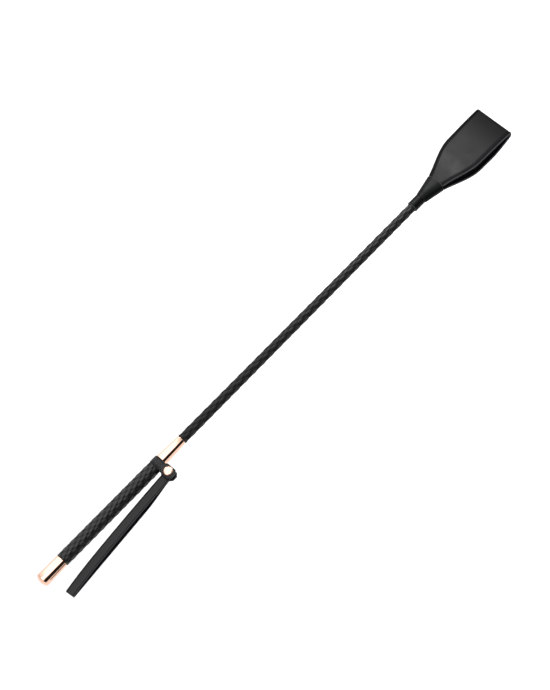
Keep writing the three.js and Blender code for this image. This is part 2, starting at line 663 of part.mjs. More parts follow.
function popper() {
  const at = (x, z) => point3(x, 0, z);
  const start = SLEEVE_END + POPPER_HINGE_GAP;
  const restStart = SLEEVE_END + POPPER_REST_START;
  const restEnd = restStart + POPPER_REST_LENGTH;
  const floor = FLOOR + POPPER_LEATHER / 2;
  const crown = at(SLEEVE_END + POPPER_CROWN_REACH, POPPER_UPPER_HEIGHT);
  const foldHeight = POPPER_UPPER_HEIGHT - POPPER_TIP_DROP - POPPER_FOLD_RADIUS;
  const foldCentre = at(TIP - POPPER_LEATHER / 2 - POPPER_FOLD_RADIUS, foldHeight);
  const foldEnd = Math.PI / 2 - THREE.MathUtils.degToRad(POPPER_FOLD_TURN);
  const fold = arc(foldCentre, ALONG, UP, POPPER_FOLD_RADIUS, Math.PI / 2, foldEnd, 8);
  const path = [
    ...sweep(at(start, POPPER_ROOT_HEIGHT), POPPER_ROOT_SLOPE, 0, crown, 9),
    ...sweep(crown, 0, 0, fold[0], 14).slice(1),
    ...fold.slice(1),
    ...sweep(fold.at(-1), foldSlope(POPPER_FOLD_TURN), 0, at(restEnd, floor), 9).slice(1),
    ...sweep(at(restStart, floor), 0, -POPPER_ROOT_SLOPE, at(start, -POPPER_ROOT_HEIGHT), 10),
  ];
  piece("popper", strip(path, ACROSS, POPPER_LEATHER, popperHalfWidth), POPPER_BLACK);
}

// ---- The whole crop ----

buttCap();
handleCore();
gripCover();
gripWhippings();
ferrule();
rod();
shaftCover();
shaftWhippings();
keeperBand();
keeperLeaf();
pressStud();
strapEnd("strap_end_top", STRAP_UPPER);
strapEnd("strap_end_bottom", STRAP_LOWER);
wristLoop();
sleeve();
popperTails();
popper();

crop.updateMatrixWorld(true);
const extent = new THREE.Box3().setFromObject(crop, true);
const middle = extent.getCenter(new THREE.Vector3());
crop.position.set(-middle.x, -middle.y, -extent.min.z);
crop.updateMatrixWorld(true);

export default crop;
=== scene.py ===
"""Looks of a riding crop: braided handle and shaft, rose-gold fittings, wrist strap and folded popper.

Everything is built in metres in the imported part's own frame. +X runs along the shaft from the butt to the
tip, +Z is up out of the popper's face, and the crop's lowest points are on z = 0.
"""

import json
import logging
import math
from dataclasses import dataclass, field
from enum import Enum

import bmesh
import bpy
import numpy as np
from mathutils import Matrix, Vector

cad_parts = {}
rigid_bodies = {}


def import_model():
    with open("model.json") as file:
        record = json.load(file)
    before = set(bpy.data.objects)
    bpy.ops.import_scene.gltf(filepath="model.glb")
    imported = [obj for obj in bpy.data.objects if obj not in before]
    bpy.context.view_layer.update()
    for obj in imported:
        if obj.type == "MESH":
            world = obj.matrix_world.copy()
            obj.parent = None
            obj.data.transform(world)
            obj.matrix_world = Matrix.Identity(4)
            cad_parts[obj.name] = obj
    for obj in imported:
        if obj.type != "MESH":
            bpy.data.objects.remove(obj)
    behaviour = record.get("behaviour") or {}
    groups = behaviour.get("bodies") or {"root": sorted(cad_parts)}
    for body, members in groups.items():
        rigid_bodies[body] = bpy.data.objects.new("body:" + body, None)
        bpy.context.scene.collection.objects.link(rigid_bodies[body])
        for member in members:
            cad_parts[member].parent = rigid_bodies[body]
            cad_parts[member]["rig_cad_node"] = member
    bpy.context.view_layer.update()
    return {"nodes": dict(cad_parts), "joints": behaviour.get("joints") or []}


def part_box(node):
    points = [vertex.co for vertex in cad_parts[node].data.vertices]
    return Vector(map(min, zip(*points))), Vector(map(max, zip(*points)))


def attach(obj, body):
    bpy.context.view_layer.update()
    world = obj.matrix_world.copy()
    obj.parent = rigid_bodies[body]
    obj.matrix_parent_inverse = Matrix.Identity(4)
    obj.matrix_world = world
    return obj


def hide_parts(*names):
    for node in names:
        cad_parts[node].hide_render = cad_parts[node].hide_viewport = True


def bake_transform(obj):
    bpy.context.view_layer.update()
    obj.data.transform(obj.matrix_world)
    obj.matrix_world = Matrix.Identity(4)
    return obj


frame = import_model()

log = logging.getLogger("riding_crop")
MM = 0.001
SAME_POINT = 1e-7  # metres
AXIS_GAP = 0.001  # mm that an outline stops short of its axis
PIECE_GAP = 0.05  # mm between pieces that meet end to end
LEAST_ROOM = 0.2  # mm of a narrow strip's half width that its edges leave free
OTHER_FACE = 100  # mm that the grain of a strip's other face is taken from further along the hide
TURN = 2 * math.pi
# Blender's mix node has inputs named A and B for each data type, so its colour sockets go by number.
COLOUR_A, COLOUR_B, MIXED = 6, 7, 2


class Slot(Enum):
    """The record's material slots."""

    ROSE_GOLD = "rose_gold"
    SNAP_BRASS = "snap_brass"
    GRIP_BRAID = "grip_braid"
    SHAFT_BRAID = "shaft_braid"
    STRAP_LEATHER = "strap_leather"
    SLEEVE_LEATHER = "sleeve_leather"
    POPPER_LEATHER = "popper_leather"
    GLASS_FIBRE = "glass_fibre"
    CORE_PLASTIC = "core_plastic"
    THREAD = "thread"


class Turning(Enum):
    """The axis that a turned piece is turned about."""

    ALONG_SHAFT = "x"
    UPRIGHT = "z"


# ---------------------------------------------------------------- finishes


def linear(colour: str) -> tuple[float, float, float, float]:
    """Turns an sRGB hex colour into linear RGBA.

    Args:
        colour: six hex digits after a hash.

    Returns:
        The linear colour with alpha 1.
    """
    parts = [int(colour[i : i + 2], 16) / 255 for i in (1, 3, 5)]
    flat = [p / 12.92 if p <= 0.04045 else ((p + 0.055) / 1.055) ** 2.4 for p in parts]
    return (flat[0], flat[1], flat[2], 1.0)


def add_node(
    tree: bpy.types.NodeTree,
    kind: str,
    inputs: dict | None = None,
    links: dict | None = None,
    **settings: object,
) -> bpy.types.Node:
    """Adds a node with its settings, socket values and links.

    Args:
        tree: the node tree it goes into.
        kind: Blender's name for the node.
        inputs: values for sockets, by name or number.
        links: output sockets that feed its inputs, by name or number.
        **settings: properties of the node itself.

    Returns:
        The new node.
    """
    node = tree.nodes.new(kind)
    for name, value in settings.items():
        setattr(node, name, value)
    for key, value in (inputs or {}).items():
        node.inputs[key].default_value = value
    for key, socket in (links or {}).items():
        tree.links.new(socket, node.inputs[key])
    return node


def blank_material(
    name: str, **values: object
) -> tuple[bpy.types.Material, bpy.types.NodeTree, bpy.types.Node]:
    """Starts a material with one shader and its output.

    Args:
        name: the material's name.
        **values: shader sockets that are the same all over, with _ for a space.

    Returns:
        The material, its node tree and its shader node.
    """
    material = bpy.data.materials.new(name)
    material.use_nodes = True
    tree = material.node_tree
    tree.nodes.clear()
    inputs = {key.replace("_", " "): value for key, value in values.items()}
    shader = add_node(tree, "ShaderNodeBsdfPrincipled", inputs)
    add_node(tree, "ShaderNodeOutputMaterial", links={"Surface": shader.outputs[0]})
    return material, tree, shader


@dataclass(frozen=True)
class PlatedLeather:
    """Black corrected-grain leather: dyed through, then embossed and plated smooth under heat.

    The plating leaves a shallow pebble grain with a soft sheen. Grooves and cut edges stay drier and matt.
    The paler cut-edge colour is the burnished edge, and on the popper it is also a painted highlight along
    that edge.
    """

    name: str
    colour: str
    high_colour: str
    edge_colour: str
    roughness: float
    gloss: float
    grain_mm: float = 0.9
    pores_per_grain: float = 2.6
    pore_share: float = 0.35
    grain_depth_mm: float = 0.05
    mottle_mm: float = 14.0
    mottle_share: float = 0.55
    rough_spread: float = 0.05
    groove_matt: float = 0.15
    groove_gloss: float = 0.3

    def build(self) -> bpy.types.Material:
        """Builds the node material.

        Returns:
            The material. Its socket holds the gloss too, for an export that leaves the linked one out.
        """
        material, tree, shader = blank_material(self.name, Specular_IOR_Level=self.gloss)
        place = {"Vector": add_node(tree, "ShaderNodeUVMap", uv_map="UVMap").outputs["UV"]}
        grains = 1 / (self.grain_mm * MM)
        pebble = add_node(
            tree, "ShaderNodeTexVoronoi", {"Scale": grains, "Smoothness": 0.6, "Randomness": 0.95}, place,
            feature="SMOOTH_F1",
        )
        pores = add_node(
            tree, "ShaderNodeTexNoise", {"Scale": self.pores_per_grain * grains, "Detail": 2.0}, place
        )
        mottle = add_node(
            tree, "ShaderNodeTexNoise",
            {"Scale": 1 / (self.mottle_mm * MM), "Detail": 4.0, "Roughness": 0.6}, place,
        ).outputs["Fac"]
        rub = add_node(tree, "ShaderNodeAttribute", attribute_name="rub").outputs["Fac"]
        cut = add_node(tree, "ShaderNodeAttribute", attribute_name="cut_edge").outputs["Fac"]
        shade = add_node(tree, "ShaderNodeMath", {1: self.mottle_share}, {0: mottle}, operation="MULTIPLY")
        high = add_node(tree, "ShaderNodeMath", {}, {0: shade.outputs[0], 1: rub}, operation="MULTIPLY")
        face = add_node(
            tree, "ShaderNodeMix", {COLOUR_A: linear(self.colour), COLOUR_B: linear(self.high_colour)},
            {"Factor": high.outputs[0]}, data_type="RGBA",
        )
        # The cut-edge colour: a paler burnished edge, and on the popper also a painted highlight along the
        # edge.
        whole = add_node(
            tree, "ShaderNodeMix", {COLOUR_B: linear(self.edge_colour)},
            {"Factor": cut, COLOUR_A: face.outputs[MIXED]}, data_type="RGBA",
        )
        smooth, coarse = self.roughness - self.rough_spread, self.roughness + self.rough_spread
        rough = add_node(
            tree, "ShaderNodeMapRange",
            {"From Min": 0.25, "From Max": 0.75, "To Min": coarse, "To Max": smooth}, {"Value": mottle},
        )
        groove = add_node(tree, "ShaderNodeMath", {0: 1.0}, {1: rub}, operation="SUBTRACT")
        matt = add_node(
            tree, "ShaderNodeMath", {1: self.groove_matt}, {0: groove.outputs[0], 2: rough.outputs[0]},
            operation="MULTIPLY_ADD",
        )
        sheen = add_node(
            tree, "ShaderNodeMapRange", {"To Min": self.gloss * self.groove_gloss, "To Max": self.gloss},
            {"Value": rub},
        )
        grain = add_node(
            tree, "ShaderNodeMath", {1: self.pore_share},
            {0: pores.outputs["Fac"], 2: pebble.outputs["Distance"]}, operation="MULTIPLY_ADD",
        )
        bump = add_node(
            tree, "ShaderNodeBump", {"Strength": 0.5, "Distance": self.grain_depth_mm * MM},
            {"Height": grain.outputs[0]},
        )
        for socket, output in (
            ("Base Color", whole.outputs[MIXED]), ("Roughness", matt.outputs[0]),
            ("Specular IOR Level", sheen.outputs[0]), ("Normal", bump.outputs[0]),
        ):
            tree.links.new(output, shader.inputs[socket])
        return material


@dataclass(frozen=True)
class Patterned:
    """A finish whose two colours and roughness follow one pattern, and whose relief follows another."""

    name: str
    colour: str
    second_colour: str

    def _lay(
        self,
        tree: bpy.types.NodeTree,
        shader: bpy.types.Node,
        tone: bpy.types.NodeSocket,
        roughness: dict[str, float],
        relief: bpy.types.NodeSocket,
        bump: tuple[float, float],
    ) -> None:
        """Joins the patterns to the shader.

        Args:
            tree: the material's node tree.
            shader: its shader.
            tone: the pattern that the colours and the roughness follow.
            roughness: the range that the pattern is turned to, by socket name.
            relief: the pattern that the relief follows.
            bump: how strongly the relief shows, and its depth in mm.
        """
        colour = add_node(
            tree, "ShaderNodeMix", {COLOUR_A: linear(self.colour), COLOUR_B: linear(self.second_colour)},
            {"Factor": tone}, data_type="RGBA",
        )
        rough = add_node(tree, "ShaderNodeMapRange", roughness, {"Value": tone})
        strength, depth_mm = bump
        raised = add_node(
            tree, "ShaderNodeBump", {"Strength": strength, "Distance": depth_mm * MM}, {"Height": relief}
        )
        tree.links.new(colour.outputs[MIXED], shader.inputs["Base Color"])
        tree.links.new(rough.outputs[0], shader.inputs["Roughness"])
        tree.links.new(raised.outputs[0], shader.inputs["Normal"])


@dataclass(frozen=True)
class PolishedPlate(Patterned):
    """Brass, turned or stamped, polished and plated: a warm mirror with a few fine buffing marks."""

    roughness: float
    mark_mm: float = 0.35
    clouds_per_metre: float = 90.0

    def build(self) -> bpy.types.Material:
        """Builds the node material.

        Returns:
            The material.
        """
        material, tree, shader = blank_material(self.name, Metallic=1.0)
        place = {"Vector": add_node(tree, "ShaderNodeUVMap", uv_map="UVMap").outputs["UV"]}
        drawn_out = add_node(tree, "ShaderNodeMapping", {"Scale": (1.0, 0.06, 1.0)}, place)
        marks = add_node(
            tree, "ShaderNodeTexNoise", {"Scale": 1 / (self.mark_mm * MM), "Detail": 3.0},
            {"Vector": drawn_out.outputs[0]},
        )
        cloud = add_node(tree, "ShaderNodeTexNoise", {"Scale": self.clouds_per_metre, "Detail": 3.0}, place)
        spread = {
            "From Min": 0.3, "From Max": 0.7, "To Min": self.roughness * 0.8, "To Max": self.roughness * 1.25,
        }
        self._lay(tree, shader, cloud.outputs["Fac"], spread, marks.outputs["Fac"], (0.12, 0.004))
        return material


@dataclass(frozen=True)
class WaxedThread(Patterned):
    """Waxed linen thread, twisted from plies and wound tight: matt black with a fine slanting twist."""

    ply_mm: float = 0.35
    slant: float = 0.6

    def build(self) -> bpy.types.Material:
        """Builds the node material.

        Returns:
            The material.
        """
        material, tree, shader = blank_material(self.name, Specular_IOR_Level=0.3)
        place = {"Vector": add_node(tree, "ShaderNodeUVMap", uv_map="UVMap").outputs["UV"]}
        slanted = add_node(tree, "ShaderNodeMapping", {"Rotation": (0.0, 0.0, self.slant)}, place)
        ply = add_node(
            tree, "ShaderNodeTexWave", {"Scale": 1 / (TURN * self.ply_mm * MM), "Distortion": 0.4},
            {"Vector": slanted.outputs[0]},
        ).outputs["Fac"]
        self._lay(tree, shader, ply, {"To Min": 0.75, "To Max": 0.6}, ply, (0.6, 0.05))
        return material


@dataclass(frozen=True)
class DrawnSolid(Patterned):
    """Glass fibre pulled through a die, or nylon from a mould: smooth, with faint streaks along it."""

    roughness: float
    streak_mm: float

    def build(self) -> bpy.types.Material:
        """Builds the node material, in object coordinates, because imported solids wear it.

        Returns:
            The material.
        """
        material, tree, shader = blank_material(self.name)
        place = {"Vector": add_node(tree, "ShaderNodeTexCoord").outputs["Object"]}
        drawn_out = add_node(tree, "ShaderNodeMapping", {"Scale": (0.05, 1.0, 1.0)}, place)
        streaks = add_node(
            tree, "ShaderNodeTexNoise", {"Scale": 1 / (self.streak_mm * MM), "Detail": 3.0},
            {"Vector": drawn_out.outputs[0]},
        ).outputs["Fac"]
        spread = {"To Min": self.roughness - 0.06, "To Max": self.roughness + 0.06}
        self._lay(tree, shader, streaks, spread, streaks, (0.3, 0.02))
        return material


@dataclass(frozen=True)
class MattPaper:
    """Seamless studio paper: matt and nearly white, with the faintest tooth."""

    name: str
    colour: str
    tooth_per_metre: float = 700.0

    def build(self) -> bpy.types.Material:
        """Builds the node material.

        Returns:
            The material.
        """
        material, tree, shader = blank_material(
            self.name, Base_Color=linear(self.colour), Specular_IOR_Level=0.0
        )
        place = {"Vector": add_node(tree, "ShaderNodeTexCoord").outputs["Object"]}
        tooth = add_node(tree, "ShaderNodeTexNoise", {"Scale": self.tooth_per_metre, "Detail": 2.0}, place)
        rough = add_node(
            tree, "ShaderNodeMapRange", {"To Min": 0.85, "To Max": 1.0}, {"Value": tooth.outputs["Fac"]}
        )
        tree.links.new(rough.outputs[0], shader.inputs["Roughness"])
        return material


class Finishes:
    """Every finish of the crop, built once."""

    def __init__(self) -> None:
        """Builds the materials, one for each of the record's slots, and the studio's paper."""
        finishes = {
            # Copper-rich gold plate over turned brass: a pale pink mirror that shows the room's edges.
            Slot.ROSE_GOLD: PolishedPlate("rose_gold_plate_polished", "#F6CDB8", "#F2C4AC", 0.05),
            # Stamped sheet brass, tumbled but not buffed: yellow, with a blurred shine.
            Slot.SNAP_BRASS: PolishedPlate("brass_stamped", "#C9A866", "#B8924E", 0.3),
            # Thick lace on the grip, rubbed by the hand: its crowns catch more light than the shaft's.
            Slot.GRIP_BRAID: PlatedLeather(
                "leather_lace_grip", "#070708", "#131314", "#1A1A1C", roughness=0.34, gloss=0.5
            ),
            # Narrow lace on the shaft: the same leather, drier.
            Slot.SHAFT_BRAID: PlatedLeather(
                "leather_lace_shaft", "#070707", "#131313", "#1A1A1C", roughness=0.4, gloss=0.3
            ),
            # Strap leather with a faint warm cast and pale, burnished edges.
            Slot.STRAP_LEATHER: PlatedLeather(
                "leather_strap_plated", "#080708", "#121013", "#57535A", roughness=0.36, gloss=0.34
            ),
            # Thin leather skived and glued down: nearly black, with hardly any shine.
            Slot.SLEEVE_LEATHER: PlatedLeather(
                "leather_sleeve_plated", "#040606", "#090B0B", "#4A4E4E", roughness=0.42, gloss=0.09
            ),
            # Stiff, heavily plated leather: a soft even sheen. Its pale edge colour is partly the burnished
            # edge and partly a painted highlight along it.
            Slot.POPPER_LEATHER: PlatedLeather(
                "leather_popper_plated", "#060607", "#0D0D0E", "#58595C", roughness=0.38, gloss=0.1
            ),
            Slot.GLASS_FIBRE: DrawnSolid("glass_fibre_pultruded", "#D8D4C4", "#C6C0AC", 0.35, 0.6),
            Slot.CORE_PLASTIC: DrawnSolid("nylon_core_moulded", "#2C2C2E", "#363638", 0.5, 1.5),
            Slot.THREAD: WaxedThread("linen_thread_waxed", "#0C0C0D", "#1A1A1B"),
        }
        self._made = {slot: finish.build() for slot, finish in finishes.items()}
        self.paper = MattPaper("studio_paper", "#F0F0F0").build()

    def dress(self, piece: bpy.types.Object, slot: Slot) -> None:
        """Gives a piece one finish all over.

        Args:
            piece: the mesh to dress.
            slot: the record's slot that the piece takes its finish from.
        """
        piece.data.materials.clear()
        piece.data.materials.append(self._made[slot])


# ---------------------------------------------------------------- meshes


def round_angles(columns: int) -> np.ndarray:
    """Equal angles round a circle, in radians."""
    return np.arange(columns) / columns * TURN


def walked(path: np.ndarray) -> np.ndarray:
    """How far along a path each of its points is."""
    return np.concatenate([[0], np.cumsum(np.linalg.norm(np.diff(path, axis=0), axis=1))])


def unrolled(along: np.ndarray, columns: int, girth: float) -> np.ndarray:
    """Surface coordinates along a round piece and round its girth, with one more column to close it."""
    return np.stack(np.meshgrid(along, np.arange(columns + 1) / columns * girth, indexing="ij"), axis=-1)


def skin(
    name: str,
    grid: np.ndarray,
    uv: np.ndarray,
    marks: dict[str, np.ndarray] | None = None,
    sharp_angle: float = 50.0,
    closed_ends: bool = True,
) -> bpy.types.Object:
    """Makes a mesh from rows of points, each row closed round into a ring.

    Args:
        name: the piece's name.
        grid: points in metres, as rows x columns x 3.
        uv: surface coordinates in metres, as rows x (columns + 1) x 2.
        marks: values from 0 to 1 at each point, as rows x columns, by attribute name.
        sharp_angle: edges that turn by more than this many degrees stay sharp.
        closed_ends: whether the first and last rows are filled in.

    Returns:
        The new object.
    """
    rows, columns = grid.shape[:2]
    row, column = np.meshgrid(np.arange(rows - 1), np.arange(columns), indexing="ij")
    beside = (column + 1) % columns
    near, far = row * columns, (row + 1) * columns
    quads = np.stack([near + column, near + beside, far + beside, far + column], axis=-1).reshape(-1, 4)
    faces = quads.tolist()
    if closed_ends:
        faces.append(list(range(columns))[::-1])
        faces.append(list(range((rows - 1) * columns, rows * columns)))
    mesh = bpy.data.meshes.new(name)
    mesh.from_pydata(grid.reshape(-1, 3).tolist(), [], faces)
    layer = mesh.uv_layers.new(name="UVMap")
    corners = np.zeros((len(mesh.loops), 2))
    spread = np.stack(
        [uv[row, column], uv[row, column + 1], uv[row + 1, column + 1], uv[row + 1, column]], axis=2
    )
    corners[: len(quads) * 4] = spread.reshape(-1, 2)
    layer.data.foreach_set("uv", corners.astype(np.float32).ravel())
    for mark, values in {"rub": np.ones((rows, columns)), **(marks or {})}.items():
        attribute = mesh.attributes.new(mark, "FLOAT", "POINT")
        attribute.data.foreach_set("value", values.astype(np.float32).ravel())
    body = bmesh.new()
    body.from_mesh(mesh)
    bmesh.ops.remove_doubles(body, verts=body.verts, dist=SAME_POINT)
    bmesh.ops.recalc_face_normals(body, faces=body.faces)
    body.to_mesh(mesh)
    body.free()
    mesh.shade_smooth()
    mesh.set_sharp_from_angle(angle=math.radians(sharp_angle))
    piece = bpy.data.objects.new(name, mesh)
    bpy.context.scene.collection.objects.link(piece)
    return piece


def rounded(outline: list[tuple[float, float, float]], steps: int = 5) -> np.ndarray:
    """Rounds the corners of an open outline.

    Args:
        outline: (position, radius, corner radius) points in mm.
        steps: points on each rounded corner.

    Returns:
        The outline as an array of (position, radius) in mm.
    """
    points = [np.array(p[:2], float) for p in outline]
    result = [points[0]]
    for before, corner, after, size in zip(points, points[1:], points[2:], [p[2] for p in outline[1:-1]]):
        back, on = before - corner, after - corner
        reach = min(size, 0.45 * np.linalg.norm(back), 0.45 * np.linalg.norm(on))
        if reach <= 0:
            result.append(corner)
            continue
        start = corner + back / np.linalg.norm(back) * reach
        end = corner + on / np.linalg.norm(on) * reach
        for i in range(steps + 1):
            share = i / steps
            result.append((1 - share) ** 2 * start + 2 * share * (1 - share) * corner + share**2 * end)
    result.append(points[-1])
    return np.array(result)


def turned(
    name: str, outline: np.ndarray, centre: Vector, turning: Turning, columns: int = 96
) -> bpy.types.Object:
    """Turns an outline about an axis.

    Args:
        name: the piece's name.
        outline: (position along the axis, radius) points in mm.
        centre: a point in metres on the axis, from which positions are measured.
        turning: which axis it is turned about.
        columns: points round the axis.

    Returns:
        The turned piece.
    """
    angle = round_angles(columns)
    position = np.repeat(outline[:, :1], columns, axis=1) * MM
    radius = outline[:, 1:2] * MM
    first, second = radius * np.cos(angle), radius * np.sin(angle)
    axes = (position, first, second) if turning is Turning.ALONG_SHAFT else (first, second, position)
    grid = np.stack(axes, axis=-1) + np.array(centre)
    uv = unrolled(walked(outline) * MM, columns, TURN * float(outline[:, 1].max()) * MM)
    return skin(name, grid, uv, closed_ends=False)


def sweep(start: tuple, start_slope: float, end_slope: float, end: tuple, steps: int) -> np.ndarray:
    """Points of a smooth curve in a plane between two points, at given slopes.

    Args:
        start: (along, up) of the first point.
        start_slope: rise per unit at the first point.
        end_slope: rise per unit at the last point.
        end: (along, up) of the last point.
        steps: how many steps it is cut into.

    Returns:
        The points, both ends included.
    """
    a, d = np.array(start, float), np.array(end, float)
    reach = (d[0] - a[0]) / 3
    b = a + np.array([reach, reach * start_slope])
    c = d - np.array([reach, reach * end_slope])
    t = np.linspace(0, 1, steps + 1)[:, None]
    return (1 - t) ** 3 * a + 3 * t * (1 - t) ** 2 * b + 3 * t**2 * (1 - t) * c + t**3 * d


def bow(centre: tuple, radius: float, from_degrees: float, to_degrees: float, steps: int) -> np.ndarray:
    """Points of an arc in a plane.

    Args:
        centre: (along, up) of its centre.
        radius: its radius.
        from_degrees: where it starts.
        to_degrees: where it ends.
        steps: how many steps it is cut into.

    Returns:
        The points, both ends included.
    """
    angle = np.radians(np.linspace(from_degrees, to_degrees, steps + 1))
    return np.array(centre) + radius * np.stack([np.cos(angle), np.sin(angle)], axis=1)


def evenly(path: np.ndarray, pitch: float) -> np.ndarray:
    """Walks a path in even steps.

    Args:
        path: its points.
        pitch: the length of a step.

    Returns:
        New points on the same path.
    """
    walk = walked(path)
    keep = np.concatenate([[True], np.diff(walk) > 1e-6])
    path, walk = path[keep], walk[keep]
    at = np.linspace(0, walk[-1], max(3, int(round(walk[-1] / pitch)) + 1))
    return np.stack([np.interp(at, walk, path[:, i]) for i in range(path.shape[1])], axis=1)


def smooth_share(value: np.ndarray | float, low: float, high: float) -> np.ndarray:
    """How far a value has gone from low to high: from 0 to 1, starting and ending gently."""
    share = np.clip((np.asarray(value, float) - low) / (high - low), 0, 1)
    return share * share * (3 - 2 * share)


@dataclass(frozen=True)
class StripEdge:
    """How the long edges of a leather strip are worked, in mm."""

    round_mm: float = 0.35
    crease_inset: float = 1.6
    crease_depth: float = 0.12
    crease_width: float = 0.35
    lip_swell: float = 0.0

    def depth(self, inward: np.ndarray) -> np.ndarray:
        """How far the face lies below the strip's full thickness.

        Args:
            inward: distance from the nearest long edge, in mm.

        Returns:
            The depth in mm.
        """
        rounding = np.clip(self.round_mm - inward, 0, self.round_mm)
        shoulder = self.round_mm - np.sqrt(np.maximum(self.round_mm**2 - rounding**2, 0))
        crease = self.crease_depth * np.exp(-(((inward - self.crease_inset) / self.crease_width) ** 2))
        swell = self.lip_swell * np.sin(np.pi * np.clip(inward / self.crease_inset, 0, 1))
        return shoulder + crease - swell

    def edge_wear_and_highlight(self, inward: np.ndarray) -> np.ndarray:
        """How much of the edge colour the corner of the edge takes, from 0 to 1, at these distances from the
        edge in mm: the burnished corner, which on the popper is also a painted highlight.
        """
        return np.exp(-(((inward - 0.4 * self.round_mm) / (0.3 * self.round_mm)) ** 2))

    def polish(self, inward: np.ndarray) -> np.ndarray:
        """How polished the face is, from 0 to 1: outside the crease it is dressed matt."""
        return 0.2 + 0.8 * smooth_share(inward, self.crease_inset - self.crease_width, self.crease_inset)

    def stations(self) -> np.ndarray:
        """Picks the places across the strip that show its rounding and its crease.

        Returns:
            Distances from the edge, in mm.
        """
        rounding = self.round_mm * np.array([0, 0.1, 0.25, 0.5, 0.75, 1])
        between = np.linspace(self.round_mm, self.crease_inset - 2 * self.crease_width, 4)[1:]
        crease = self.crease_inset + self.crease_width * np.array([-1.2, -0.6, 0, 0.6, 1.2, 2])
        return np.unique(np.round(np.concatenate([rounding, between, crease]), 4))


@dataclass
class StripPlace:
    """The plane that a strip's path is drawn in, and the direction of its width, as unit vectors."""

    origin: np.ndarray
    along: np.ndarray
    up: np.ndarray
    across: np.ndarray


def leather_strip(
    name: str,
    path: np.ndarray,
    half_width: np.ndarray,
    thickness: np.ndarray,
    place: StripPlace,
    edge: StripEdge,
    centre_steps: int = 12,
) -> bpy.types.Object:
    """Builds a strip of leather along a path, with worked edges on both faces.

    Args:
        name: the piece's name.
        path: (along, up) of the middle of the leather, in mm.
        half_width: half the strip's width at each point, in mm.
        thickness: the leather's thickness at each point, in mm.
        place: where the path lies.
        edge: how the edges are worked.
        centre_steps: how many steps the face between the edges is cut into.

    Returns:
        The strip.
    """
    tangent = np.gradient(path, axis=0)
    tangent /= np.linalg.norm(tangent, axis=1, keepdims=True)
    normal = np.stack([-tangent[:, 1], tangent[:, 0]], axis=1)
    inset = edge.stations()
    room = np.minimum(1.0, (half_width - LEAST_ROOM) / inset[-1])[:, None]
    left = -half_width[:, None] + inset[None, :] * room
    middle = left[:, -1:] + (-2 * left[:, -1:]) * np.linspace(0, 1, centre_steps + 1)[None, 1:-1]
    sideways = np.concatenate([left, middle, -left[:, ::-1]], axis=1)
    inward = half_width[:, None] - np.abs(sideways)
    lift = thickness[:, None] / 2 - edge.depth(inward)
    sideways = np.concatenate([sideways, sideways[:, ::-1]], axis=1)
    lift = np.concatenate([lift, -lift[:, ::-1]], axis=1)
    inward = np.concatenate([inward, inward[:, ::-1]], axis=1)
    flat = path[:, None, :] + normal[:, None, :] * lift[..., None]
    grid = (
        place.origin
        + flat[..., :1] * MM * place.along
        + flat[..., 1:] * MM * place.up
        + sideways[..., None] * MM * place.across
    )
    around = np.concatenate([sideways, sideways[:, :1]], axis=1)
    around[:, sideways.shape[1] // 2 :] += OTHER_FACE
    uv = np.stack([np.repeat(walked(path)[:, None], around.shape[1], axis=1), around], axis=-1) * MM
    # cut_edge puts the edge colour on the rounded corner: the burnished edge, and on the popper also a
    # painted highlight.
    marks = {"cut_edge": edge.edge_wear_and_highlight(inward), "rub": edge.polish(inward)}
    return skin(name, grid, uv, marks, sharp_angle=60)


# ---------------------------------------------------------------- where the solids are


@dataclass(frozen=True)
class CropLayout:
    """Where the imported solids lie, in metres."""

    axis_y: float
    axis_z: float

    @classmethod
    def measured(cls) -> "CropLayout":
        """Reads the axis of the handle and shaft off the butt cap."""
        low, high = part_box("butt_cap")
        return cls((low.y + high.y) / 2, (low.z + high.z) / 2)

    def on_axis(self, x: float) -> Vector:
        """The point of the axis at this x."""
        return Vector((x, self.axis_y, self.axis_z))

    def span(self, node: str) -> tuple[float, float]:
        """Where a solid starts and ends along the axis, in metres."""
        low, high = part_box(node)
        return low.x, high.x

    def radius(self, node: str) -> float:
        """The outer radius of a round solid about the axis, in mm."""
        low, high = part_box(node)
        return (high.z - low.z) / 2 / MM

    def joint(self, name: str) -> dict:
        """The record's entry for a joint."""
        return next(j for j in frame["joints"] if j["name"] == name)

    def around(self, x: np.ndarray, reach: np.ndarray) -> np.ndarray:
        """Rings of points round the axis.

        Args:
            x: where each ring is, in metres.
            reach: the distance of each point from the axis in mm, as rings x points.

        Returns:
            The points, as rings x points x 3.
        """
        angle = round_angles(reach.shape[1])
        across, up = reach * MM * np.cos(angle), reach * MM * np.sin(angle)
        along = np.repeat(x[:, None], reach.shape[1], axis=1)
        return np.stack([along, self.axis_y + across, self.axis_z + up], axis=-1)


def dressed(
    piece: bpy.types.Object, body: str, slot: Slot, finishes: Finishes, *nodes: str
) -> bpy.types.Object:
    """Finishes a rigid piece.

    Args:
        piece: the piece.
        body: the body that it rides on.
        slot: the slot that it takes its finish from.
        finishes: the crop's finishes.
        *nodes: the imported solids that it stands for.

    Returns:
        The same piece.
    """
    finishes.dress(piece, slot)
    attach(piece, body)
    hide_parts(*nodes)
    log.info("%s rides on %s and stands for %s", piece.name, body, ", ".join(nodes))
    return piece


def bent(
    piece: bpy.types.Object,
    bodies: tuple[str, str],
    start: Vector,
    end: Vector,
    slot: Slot,
    finishes: Finishes,
    *nodes: str,
) -> bpy.types.Object:
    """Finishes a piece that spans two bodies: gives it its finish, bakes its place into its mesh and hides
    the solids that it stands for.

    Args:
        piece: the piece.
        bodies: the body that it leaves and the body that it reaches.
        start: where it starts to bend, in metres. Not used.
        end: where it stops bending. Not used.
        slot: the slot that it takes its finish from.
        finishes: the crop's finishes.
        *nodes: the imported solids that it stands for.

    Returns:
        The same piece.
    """
    finishes.dress(piece, slot)
    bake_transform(piece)
    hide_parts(*nodes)
    log.info("%s bends from %s to %s and stands for %s", piece.name, *bodies, ", ".join(nodes))
    return piece


# ---------------------------------------------------------------- braids


